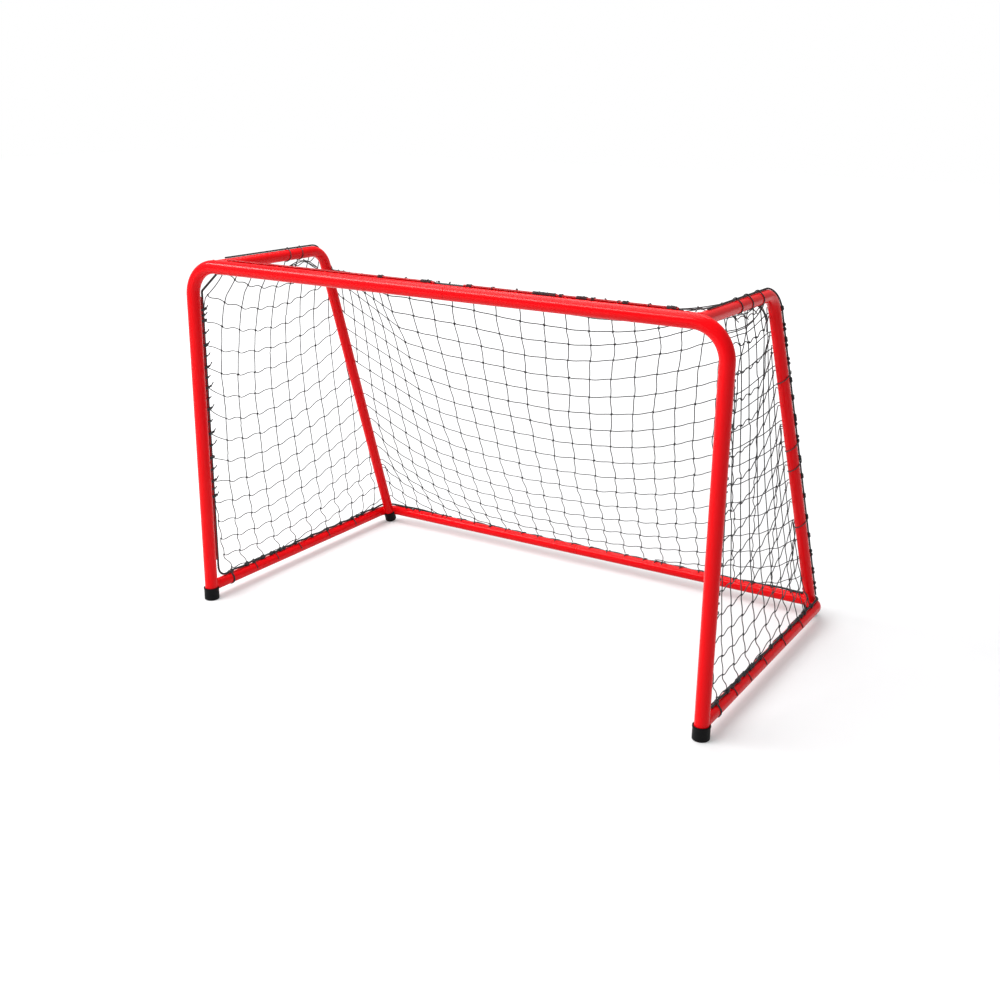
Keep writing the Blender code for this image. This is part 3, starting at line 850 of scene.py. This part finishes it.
def twine_work(name, lines, knots, seed, nodes=(), radius=TWINE_R, knot_radius=KNOT_R):
    """Strands and knots as one piece of twine work."""
    marks = [0.0] * sum(len(line) for line in lines) + [1.0] * len(knots)
    start = lines_mesh(name, lines + [[knot] for knot in knots], {"knot": marks})
    sizes = {"Twine radius": radius, "Knot radius": knot_radius, "Seed": seed, "Finish": NET_FIBRE}
    fitted(grown(name, KNOTTED_TWINE, start, sizes, crease=math.pi), "black_twine", *nodes)


def ease(x):
    """A smooth step from 0 to 1."""
    x = min(max(x, 0), 1)
    return x * x * (3 - 2 * x)


def nearest_ring(y, z):
    """Which place on the strut's line is nearest in side view, and how far behind it a point is."""
    places = enumerate(STRUT_LINE_FINE)
    best = min(places, key=lambda at: (at[1].y - y) ** 2 + (at[1].z - z) ** 2)[0]
    centre, back = strut_ring(best)
    return best, (y - centre.y) * back.y + (z - centre.z) * back.z


def hang(table, p, q):
    """A smooth sheet: each row of the table is a power of p, each value in it a power of q."""
    return sum(value * p ** a * q ** b for a, row in enumerate(table) for b, value in enumerate(row))


def slack_wave(t):
    """How slack twine leaves each knot: it dips at once and rises to the next."""
    return math.sin(math.tau * (t % 1) ** 0.8)


SIDE_BACKWARD = (
    (213.0, 36.8, 23.3, -17.6, 3.0),
    (165.2, 24.9, -6.2, -2.6),
    (-10.3, -4.5, -0.5),
    (-4.2, -4.6),
    (4.5,),
)
SIDE_UPWARD = (
    (321.1, -254.4, 2.3, 10.0, -1.0),
    (29.6, 11.7, -11.8, -1.8),
    (25.3, -12.0, 0.5),
    (-5.1, -1.1),
    (-2.2,),
)

# Both kinds of net sway a little out of true, in the same way each time.
SWAY_SEED = 2
noise.seed_set(SWAY_SEED)
SIDE_BELLY = 0.004


def side_lattice(u, v):
    """Where column u and row v of a side net cross in side view; the tables are in mm."""
    column = min(u, 9.5)
    row = min(max(v, -1.5), 14.5)
    p = (column - 5) / 4
    q = (row - 6) / 7
    middle = math.exp(-((v - 6) / 2.6) ** 2)
    y = hang(SIDE_BACKWARD, p, q) + 12 * ease(v - 13) + 7 * middle * max(1 - abs(u - 1), 0)
    z = hang(SIDE_UPWARD, p, q) + 34 * middle * max(1 - u, 0) ** 2
    y += 38 * (u - column)
    z += 8 * (u - column) - 36 * (v - row)
    sway = noise.noise_vector(Vector((u * 0.5, v * 0.5, 3.1)))
    y += 2.5 * sway.x - (0.3 + 1.5 * ease((v - 8) / 4)) * slack_wave(v)
    z += 2.0 * sway.y - (2.0 + 0.8 * sway.z) * slack_wave(u)
    return y / 1000 + POST_Y, z / 1000


def side_skin(y, z, face):
    """How far out the net hangs: on the rod, the base tube and one face of the strut."""
    ring, behind = nearest_ring(y, z)
    strut_x = STRUT_LINE_FINE[ring].x + face * NET_OFF
    front_x = POST_X - max(z - POST_RAIL_TOP_Z, 0) * 0.9
    pulls = [
        (front_x, max(y - CORD_BACK_Y, 0)),
        (POST_X, max(z - BASE_CORD_Z, 0)),
        (strut_x, max(-behind, 0)),
    ]
    weights = [1 / (distance + 0.0004) for _, distance in pulls]
    return sum(pull[0] * weight for pull, weight in zip(pulls, weights)) / sum(weights)


def on_skin(point):
    """Keeps a place on the right half of a net from sinking into the strut."""
    ring, _ = nearest_ring(point.y, point.z)
    centre, back = strut_ring(ring)
    sideways = point.x - centre.x
    behind = (point - centre).dot(back)
    distance = math.hypot(sideways, behind)
    if not 0 < distance < NET_OFF:
        return point
    push = NET_OFF / distance - 1
    return point + Vector((sideways * push, 0, 0)) + back * behind * push


def side_point(u, v, face):
    """A point of the net, with a slight belly inward."""
    y, z = side_lattice(u, v)
    height = min(max((z - 0.04) / 0.54, 0), 1)
    belly = SIDE_BELLY * math.sin(math.pi * height) * ease((y - CORD_BACK_Y) / 0.05)
    return on_skin(Vector((side_skin(y, z, face) - belly, y, z)))


def side_edge(u, v):
    """Over which edge a point of the side net's lattice has passed, or None inside the panel."""
    y, z = side_lattice(u, v)
    if y < CORD_BACK_Y:
        return "rod"
    ring, behind = nearest_ring(y, z)
    if behind > -0.0005 - 0.008 * level_share(ring):
        return "strut"
    if z < BASE_CORD_Z + 0.002:
        return "base"
    return None


RUN_STEP = 0.125
SHORTEST_RUN = 0.3


def runs(edge, start, end):
    """Cuts a lattice line where it leaves its panel: (values, first edge, last edge)."""
    found, current, before, was = [], None, start, "out"
    count = round((end - start) / RUN_STEP)
    for k in range(count + 1):
        t = start + (end - start) * k / count
        now = edge(t)
        if (now is None) != (was is None):
            inside, outside = (t, before) if now is None else (before, t)
            for _ in range(14):
                middle = (inside + outside) / 2
                if edge(middle) is None:
                    inside = middle
                else:
                    outside = middle
            if now is None:
                current = [edge(outside), [inside]]
            else:
                current[1].append(inside)
                found.append((current[1], current[0], edge(outside)))
                current = None
        if now is None:
            current[1].append(t)
        before, was = t, now
    if current:
        found.append((current[1], current[0], None))
    return [(values, a, b) for values, a, b in found if values[-1] - values[0] > SHORTEST_RUN]


def beside_strut(point):
    """A place on the right half seen along the strut: ring, angle as in round_strut, distance."""
    ring, behind = nearest_ring(point.y, point.z)
    sideways = point.x - STRUT_LINE_FINE[ring].x
    return ring, math.atan2(behind, sideways) % math.tau, math.hypot(behind, sideways)


def over_strut(point, from_angle=None):
    """From a net edge round the right strut's skin to the seam cord, where the strut is a leg.

    Without an angle the strand comes in taut, so it starts where it first touches the skin."""
    ring, angle, distance = beside_strut(point)
    ring = min(max(ring, seam_from), seam_to)
    if not is_leg(ring):
        return [point]
    if from_angle is None:
        from_angle = angle - math.acos(min(NET_OFF / max(distance, 1e-6), 1))
    steps = 6
    more = []
    for k in range(steps + 1):
        angle = from_angle + (seam_angle(ring) - from_angle) * k / steps
        off = NET_OFF + (2 * TWINE_R if k == steps else 0)
        more.append(round_strut(max(ring - k // 2, seam_from), angle, off))
    return more


def tie_in(line, edge, at_start, ties, from_angle):
    """Carries a strand's end on to what holds it, and notes where it is tied."""
    point = line[0] if at_start else line[-1]
    more = [point]
    if edge == "strut":
        side = 1 if point.x > 0 else -1
        more = on_side(over_strut(mirrored(point, side), from_angle), side)
    ties.append((edge, more[-1]))
    if len(more) == 1:
        return line
    return more[::-1] + line if at_start else line + more


def lattice_work(place, edge, columns, rows, across, from_angle=None):
    """All the strands, inner knots and tied ends of a net; each row runs the span `across`."""
    strands, knots, ties = [], [], []
    lines = [(lambda t, c=c: (c, t), rows[0], rows[-1]) for c in columns]
    lines += [(lambda t, r=r: (t, r), *across) for r in rows]
    for number, (spot, start, end) in enumerate(lines):
        for values, first, last in runs(lambda t: edge(*spot(t)), start, end):
            line = tie_in([place(*spot(t)) for t in values], first, True, ties, from_angle)
            strands.append(tie_in(line, last, False, ties, from_angle))
            if number < len(columns):
                knots += [place(*spot(t)) for t in values if abs(t - round(t)) < 1e-6]
    return strands, knots, ties


# The net passes the left strut on its outer face and the right strut on its inner one.
SIDE_WORK = {}
for word, face, from_angle in (("left", 1, 0.0), ("right", -1, math.pi)):
    side = SIDES[word]
    strands, knots, ties = lattice_work(
        lambda u, v: side_point(u, v, face), side_edge, range(15), range(-4, 18), (0, 14), from_angle
    )
    SIDE_WORK[word] = [(edge, mirrored(point, side)) for edge, point in ties]
    strands = [on_side(line, side) for line in strands]
    twine_work(word + "_side_netting", strands, on_side(knots, side), side + 1, [word + "_side_net"])

# Back net. The same twine and mesh, cut as one large panel from the crossbar down to the back
# bar. It hangs from the crossbar askew, so its columns lean to the left on their way down, and
# its sides lie over the struts.
NET_TOP = Vector((0, bar_cord.y, bar_cord.z + 0.002))
NET_FOOT = Vector((0, BACK_Y, BASE_CORD_Z + 0.002))
CHORD = NET_FOOT - NET_TOP
DOWN = CHORD.normalized()
OUT = Vector((0, -DOWN.z, DOWN.y))
BELLY = 0.012
HOLD = 2.7
PANEL_STEP = 0.004
PANEL_MARGIN = 0.08
WIDTH_STEPS = 30
WIDTH_TABLES = 37
FREE_OF_LEG = 0.004
NEAR_STRUT = 0.03
LAST_SLACK_COLUMN = -7
LEG_TIE_DOWN = 0.283
LEG_TIE_STEP = 0.0345
KNEE_DOWN = 0.235
TOP_LEFT_ROW = -2
TAUT_CELL = 0.0505
CELL_SHRINK = 0.001
LEG_TIE_ROW = 2
LOOSE_ROW = 7.5
LOOSE_OVER = 4

RIM = []
for ring, axis in enumerate(STRUT_LINE_FINE):
    reach = round_strut(ring, math.pi / 2, NET_OFF) - NET_TOP
    RIM.append((reach.dot(DOWN), axis.x, reach.dot(OUT)))
RIM.sort()
RIM_DOWNS = [down for down, _, _ in RIM]


def rim_at(down):
    """The strut's axis x and the net's stand-off at its edge, a distance down the panel."""
    i = min(max(bisect.bisect(RIM_DOWNS, down) - 1, 0), len(RIM) - 2)
    part = min(max((down - RIM_DOWNS[i]) / (RIM_DOWNS[i + 1] - RIM_DOWNS[i]), 0), 1)
    return tuple(RIM[i][k] + (RIM[i + 1][k] - RIM[i][k]) * part for k in (1, 2))


def stand_off(share, down):
    """How far the panel stands off the straight line; share is 0 at the middle, 1 on the strut."""
    middle = BELLY * math.sin(math.pi * min(max(down / CHORD.length, 0), 1))
    return middle + (rim_at(down)[1] - middle) * min(share, 1) ** HOLD


def fall_table(share):
    """How far down the panel the net has come after each step of its own length."""
    steps = round((CHORD.length + 2 * PANEL_MARGIN) / PANEL_STEP)
    places = [PANEL_STEP * k - PANEL_MARGIN for k in range(steps + 1)]
    offs = [stand_off(share, down) for down in places]
    falls = [0.0]
    for k in range(1, len(places)):
        falls.append(falls[-1] + math.hypot(PANEL_STEP, offs[k] - offs[k - 1]))
    top = falls[round(PANEL_MARGIN / PANEL_STEP)]
    return places, [fall - top for fall in falls]


FALL_TABLES = [fall_table(k / WIDTH_STEPS) for k in range(WIDTH_TABLES)]


def down_at(share, fall):
    """The place down the panel for a length of net from the crossbar, at a share of its width."""
    slot = min(share * WIDTH_STEPS, WIDTH_TABLES - 1.001)
    found = []
    for k in (int(slot), int(slot) + 1):
        places, falls = FALL_TABLES[k]
        i = min(max(bisect.bisect(falls, fall) - 1, 0), len(falls) - 2)
        part = (places[i + 1] - places[i]) * (fall - falls[i]) / (falls[i + 1] - falls[i])
        found.append(places[i] + part)
    return found[0] + (found[1] - found[0]) * (slot - int(slot))


BACK_ACROSS = (
    (13.3, -96.1, 14.9, 6.6, 0.7),
    (300.7, 26.3, -10.3, -9.7),
    (-9.3, 23.2, 1.1),
    (-5.1, -4.7),
    (-3.7,),
)
BACK_DOWNWARD = (
    (410.7, 349.5, 10.0, -17.2, -9.8),
    (14.8, -48.2, 19.3, 15.2),
    (-16.1, -34.9, 4.7),
    (-7.1, -0.2),
    (19.3,),
)


def back_lattice(c, r):
    """Where column c and row r of the back net cross: x, and how far down the panel."""
    column = min(max(c, -12), 9)
    row = min(max(r, -3), 14)
    right, below = c - column, r - row
    p = (column + 1) / 8
    q = (row - 6) / 7
    x = hang(BACK_ACROSS, p, q) + (36.5 if right > 0 else 41) * right - (13 if below < 0 else 5) * below
    fall = hang(BACK_DOWNWARD, p, q) + (9 if right > 0 else -4) * right + (45 if below < 0 else 38) * below
    sway = noise.noise_vector(Vector((c * 0.6, r * 0.6, 7.7)))
    low_down = ease((r - 4) / 8)
    x += 4 * sway.x - (0.4 + 1.2 * low_down) * slack_wave(r)
    dip = (0.6 + 1.5 * low_down) * math.sin(math.pi * c) ** 2
    fall += 3 * sway.y + dip + (0.7 + 1.2 * low_down) * slack_wave(c)
    share = abs(x) / 438
    for _ in range(3):
        down = down_at(share, fall / 1000)
        share = abs(x) / 1000 / rim_at(down)[0]
    return x / 1000, down


def on_panel(x, down):
    """The point of the panel at a place across and down it."""
    point = NET_TOP + DOWN * down + OUT * stand_off(abs(x) / rim_at(down)[0], down)
    return Vector((x, point.y, point.z))


def back_point(c, r):
    """A point of the net; its upper left rows are drawn out straight to the left leg."""
    point = on_panel(*back_lattice(c, r))
    if c >= LAST_SLACK_COLUMN:
        return point
    held = on_panel(*back_lattice(LAST_SLACK_COLUMN, r))
    leg_down = max(LEG_TIE_DOWN + LEG_TIE_STEP * (r - LEG_TIE_ROW), KNEE_DOWN)
    leg = on_panel(-rim_at(leg_down)[0], leg_down)
    cells = (leg - held).length / (TAUT_CELL - CELL_SHRINK * r)
    drawn_out = held.lerp(leg, (LAST_SLACK_COLUMN - c) / cells)
    return point.lerp(drawn_out, 1 - ease((r - LOOSE_ROW) / LOOSE_OVER))


def back_edge(c, r):
    """Over which edge a point of the back net's lattice has passed, or None inside the panel."""
    point = back_point(c, r)
    x, down = point.x, (point - NET_TOP).dot(DOWN)
    if down < 0:
        return "crossbar"
    if c < LAST_SLACK_COLUMN and r < TOP_LEFT_ROW:
        return "selvedge"
    if abs(x) > rim_at(down)[0]:
        return "strut"
    if abs(x) > STRUT_TOP_X - NEAR_STRUT:
        ring, _, distance = beside_strut(Vector((abs(x), point.y, point.z)))
        if distance < NET_OFF + (FREE_OF_LEG if is_leg(ring) else 0):
            return "strut"
    if down > CHORD.length:
        return "back"
    return None


back_strands, back_knots, back_ties = lattice_work(
    back_point, back_edge, range(-17, 14), range(-9, 18), (-18, 14)
)
twine_work("back_netting", back_strands, back_knots, 5, ["back_net"])
# Lacing. Turns of twine bind the net's edge to what carries it: tight hitches round rod and
# rope, ties round the seam cords, and here and there a full turn round a tube.
LACE_R = 0.0008
HITCH_TURNS = 2.5
HITCH_RISE = 0.0017
TURN_STEPS = 16
TIE_TURNS = 1.5
RIGHTWARD = Vector((1, 0, 0))
BACKWARD = Vector((0, 1, 0))
UPWARD = Vector((0, 0, 1))

lace_lines, lace_knots = [], []


def wind(bars, along, turns, rise, start_angle=0.0):
    """A tight helix of twine round parallel bars, given as (centre, radius), along a direction."""
    along = along.normalized()
    first = along.orthogonal().normalized()
    second = along.cross(first)
    line = []
    for step in range(round(turns * TURN_STEPS) + 1):
        angle = start_angle + math.tau * step / TURN_STEPS
        way = first * math.cos(angle) + second * math.sin(angle)
        centre, radius = max(bars, key=lambda bar: bar[0].dot(way) + bar[1])
        line.append(centre + way * (radius + LACE_R) + along * rise * (step / TURN_STEPS - turns / 2))
    lace_lines.append(line)


def laced(name, seed, radius, knot_radius):
    """Makes one piece of the turns so far, and starts afresh."""
    twine_work(name, lace_lines, lace_knots, seed, radius=radius, knot_radius=knot_radius)
    lace_lines.clear()
    lace_knots.clear()


def angle_to(way, along):
    """The angle at which a turn round a direction faces a way."""
    first = along.orthogonal().normalized()
    return math.atan2(along.cross(first).dot(way), first.dot(way))


def scatter(key, low, high):
    """A repeatable value for a place: low, give or take the step from low to high."""
    return low + (high - low) * noise.cell(Vector((key * 731, key * 317, 0.5)))


for word, side in SIDES.items():
    rod_at = Vector((side * POST_X, POST_Y + POST_RAIL_OFF, 0))
    cord_at = Vector((side * POST_CORD_X, CORD_BACK_Y, 0))
    inward = Vector((-side, 0, 0))
    heights = sorted(p.z for e, p in SIDE_WORK[word] if e == "rod" and p.z < POST_RAIL_TOP_Z)
    between = [(low + high) / 2 for low, high in zip(heights, heights[1:])]
    for height, turns in [(h, HITCH_TURNS) for h in heights] + [(h, TIE_TURNS) for h in between]:
        level = Vector((0, 0, height))
        bars = [(rod_at + level, RAIL_R), (cord_at + level, BORDER_R)]
        wind(bars, UPWARD, turns, 0.0016, scatter(height, 0, 6))
        tail = cord_at + level + Vector((-side * 0.001, BORDER_R + LACE_R, 0))
        reach = scatter(height + 0.3, 0.6, 1.0)
        bend = tail + inward * 0.003 * reach + Vector((0, 0.003, 0.003)) * reach
        end = bend + inward * 0.002 * reach + Vector((0, 0.003, 0.006)) * reach
        lace_lines.append([tail, bend, end])
        if turns == HITCH_TURNS:
            lace_knots += [tail, bend * 0.6 + tail * 0.4]
laced("post_lacing", 11, 0.001, 0.0021)

# Places whose count of turns comes out below nothing keep only their knot.
bar_ties = sorted(p.x for e, p in back_ties if e == "crossbar" and abs(p.x) < BAR_RAIL_END_X)
pairs = zip(bar_ties, bar_ties[1:])
bar_ties += [(low + high) / 2 for low, high in list(pairs) if scatter(low, 0, 1) > 0.45]
for x in bar_ties:
    rod_at = Vector((x, POST_Y, CROSSBAR_Z)) + BAR_RAIL_OFF
    cord_at = Vector((x, bar_cord.y, bar_cord.z))
    turns = round(scatter(x, 2, 9)) + 0.5
    wind([(rod_at, RAIL_R), (cord_at, BORDER_R)], RIGHTWARD, turns, 0.0018)
    lace_knots.append(cord_at + Vector((0, 0.001, BORDER_R + LACE_R)))
laced("crossbar_lacing", 12, 0.0005, 0.0016)

over_base = angle_to(UPWARD, BACKWARD) - 0.25 * math.tau
for word, side in SIDES.items():
    for edge, point in SIDE_WORK[word]:
        if edge == "base":
            cord_at = Vector((side * POST_X, point.y, BASE_CORD_Z + 0.0006))
            wind([(cord_at, BORDER_R)], BACKWARD, HITCH_TURNS, HITCH_RISE)
            lace_knots.append(cord_at + Vector((0, 0, BORDER_R + LACE_R)))
    for y in (0.048, 0.108, 0.166, 0.232, 0.318, 0.402):
        tube_at = Vector((side * POST_X, POST_Y + y, BASE_Z))
        cord_at = Vector((side * POST_X, POST_Y + y, BASE_CORD_Z))
        turns, rise = (2.2, side * 0.0022) if y < 0.1 else (0.5, 0.010)
        wind([(tube_at, BASE_TUBE_R), (cord_at, BORDER_R)], BACKWARD, turns, rise, over_base)
off = BASE_TUBE_R + LACE_R
for edge, point in back_ties:
    if edge == "back":
        wind([(Vector((point.x, back_cord.y, back_cord.z)), BORDER_R)], RIGHTWARD, HITCH_TURNS, HITCH_RISE)
        lean = 1 if scatter(point.x, 0, 1) > 0.4 else -1
        over = []
        for step in range(9):
            angle = math.radians(118 - 12 * step)
            around = Vector((0.004 * step / 8 * lean, math.cos(angle) * off, math.sin(angle) * off))
            over.append(Vector((point.x, BACK_Y, BASE_Z)) + around)
        lace_lines.append(over)
        lace_knots.append(over[3])
laced("base_lacing", 13, LACE_R, 0.0019)


def bars_at(ring, side):
    """The strut, its seam cord and the way along them at a place, on either side of the goal."""
    strut = (mirrored(STRUT_LINE_FINE[ring], side), STRUT_R)
    seam = (mirrored(round_strut(ring, seam_angle(ring), SEAM_OFF), side), SEAM_R)
    return strut, seam, mirrored(STRUT_LINE_FINE[ring + 1] - STRUT_LINE_FINE[ring], side)


for edge, point in SIDE_WORK["left"] + SIDE_WORK["right"] + back_ties:
    ring = min(max(nearest_ring(point.y, point.z)[0], seam_from + 1), seam_to - 1)
    if edge == "strut" and is_leg(ring):
        _, seam, ahead = bars_at(ring, 1 if point.x > 0 else -1)
        wind([seam], ahead, 2.0, HITCH_RISE)
        lace_knots.append(point)

# Turns round the strut and its seam cord are centred on the side that faces the goal's front
# right. Those on the leg go little more than half round.
FACING = Vector((0.3, -0.92, 0.24))


def strut_turn(side, y, z, turns, rise):
    """A turn of twine round the strut and its seam cord at a place given in side view."""
    strut, seam, ahead = bars_at(nearest_ring(y, z)[0], side)
    ahead = ahead.normalized()
    start = angle_to(FACING, ahead) - math.pi * turns
    wind([strut, seam], ahead, turns, rise * side, start)


for y in (-0.075, -0.045):
    strut_turn(-1, y, CROSSBAR_Z, 1.0, 0.010)
for y in (-0.130, -0.090, -0.045):
    strut_turn(1, y, CROSSBAR_Z, 1.0, 0.016)
for height in (0.455, 0.335, 0.297, 0.190):
    way = (CROSSBAR_Z - height) / -LEG_WAY.z
    strut_turn(1, knee.y + LEG_WAY.y * way, height, 0.6, 0.034)

# Under each top bar the net's edge is gathered: a doubled strand sags from tie to tie, short
# slanting lashings hold it up to the bar, and the slack is bunched below the knee.
GATHERED = {
    1: [
        [
            (80, 560), (106, 557), (132, 555), (166, 552), (202, 552), (226, 556), (244, 560),
            (262, 568), (270, 576),
        ],
        [(84, 556), (112, 553), (140, 551), (172, 549), (206, 549), (232, 554), (252, 562), (266, 572)],
        [(173, 579), (196, 568), (217, 559)],
        [(214, 579), (230, 571), (246, 563)],
        [(140, 579), (158, 569), (175, 561)],
        [(236, 580), (252, 574), (262, 570), (274, 564), (286, 552), (296, 541), (298, 528)],
        [(232, 579), (248, 575), (266, 569), (280, 558), (290, 546)],
        [(238, 578), (258, 570), (276, 561), (289, 548), (297, 534)],
    ],
    -1: [
        [(150, 566), (176, 571), (203, 578), (222, 577), (238, 571), (252, 563), (258, 554)],
        [(160, 569), (186, 572), (212, 577), (231, 571), (248, 563)],
        [(214, 580), (226, 572), (240, 564), (254, 558)],
    ],
}
for side, strands in GATHERED.items():
    for number, strand in enumerate(strands):
        x = side * (STRUT_TOP_X - 0.009 - 0.0012 * (number % 3))
        points = [Vector((x, POST_Y + y / 1000, z / 1000)) for y, z in strand]
        lace_lines.append(rounded(points, 0.006, 5) if len(points) > 2 else points)
laced("strut_lacing", 14, LACE_R, 0.0020)

# Studio. A pale floor that runs out to a white background, a broad soft light overhead, a long
# strip light at the front left, a weak one low on the left, and even light from all round. The
# camera stands where the photograph was taken.


def lit_floor():
    """A white floor that keeps the goal's soft shadows where the camera looks at it."""
    made, tree, shader, place = finish("pale_floor", 0.9)
    rays = add(tree, "ShaderNodeLightPath")
    seen = maths(tree, "MAXIMUM", rays["Is Camera Ray"], rays["Is Glossy Ray"])
    seen = maths(tree, "MAXIMUM", seen, rays["Is Transmission Ray"])
    away = add(tree, "ShaderNodeVectorMath", {0: place}, operation="LENGTH")["Value"]
    wires = {"Value": away, "From Min": 0.8, "From Max": 3.0, "To Min": 0.235, "To Max": 0.74}
    rising = add(tree, "ShaderNodeMapRange", wires, interpolation_type="SMOOTHSTEP")[0]
    wire(tree, shader, {
        "Base Color": (0.56, 0.56, 0.565, 1),
        "Specular IOR Level": 0.1,
        "Emission Color": (1, 1, 1, 1),
        "Emission Strength": maths(tree, "MULTIPLY", seen, rising),
    })
    return made


floor_mesh = bpy.data.meshes.new("studio_floor")
floor_mesh.from_pydata([(-12, -12, 0), (12, -12, 0), (12, 12, 0), (-12, 12, 0)], [], [(0, 1, 2, 3)])
floor_mesh.materials.append(lit_floor())
placed("studio_floor", floor_mesh)


def softbox(name, place, aim, width, height, power):
    """A rectangular soft light aimed at a point."""
    lamp = bpy.data.lights.new(name, "AREA")
    lamp.shape = "RECTANGLE"
    lamp.size = width
    lamp.size_y = height
    lamp.energy = power
    stand = placed(name, lamp)
    stand.location = place
    stand.rotation_euler = (Vector(aim) - Vector(place)).to_track_quat("-Z", "Y").to_euler()


softbox("overhead_softbox", (-0.6, 0.1, 2.7), (0, 0, 0.2), 3.6, 2.2, 90)
softbox("left_softbox", (-2.0, -2.2, 1.5), (0, 0, 0.3), 1.6, 1.6, 4)
softbox("front_strip", (-1.9, -2.0, 2.6), (0, 0, 0.3), 3.0, 0.6, 115)

world = bpy.data.worlds.new("studio")
world.use_nodes = True
bpy.context.scene.world = world
tree = world.node_tree
tree.nodes.clear()
rays = add(tree, "ShaderNodeLightPath")
seen = maths(tree, "MAXIMUM", rays["Is Camera Ray"], rays["Is Transmission Ray"])
wires = {"Color": (1, 1, 1, 1), "Strength": ranged(tree, seen, 0.48, 1.0)}
add(tree, "ShaderNodeOutputWorld", {0: add(tree, "ShaderNodeBackground", wires)[0]})

camera = bpy.data.cameras.new("camera")
camera.sensor_width = 36
camera.lens = 45.306
eye = placed("camera", camera)
ahead = Vector((-0.4936, 0.8120, -0.3116)).normalized()
across = Vector((0.8521, 0.5232, 0.0137))
across = (across - ahead * across.dot(ahead)).normalized()
upward = across.cross(ahead)
turn = Matrix((across, upward, -ahead)).transposed()
eye.matrix_world = Matrix.Translation((1.0445, -1.7659, 0.8710)) @ turn.to_4x4()
bpy.context.scene.camera = eye
bpy.context.scene.view_settings.view_transform = "Standard"
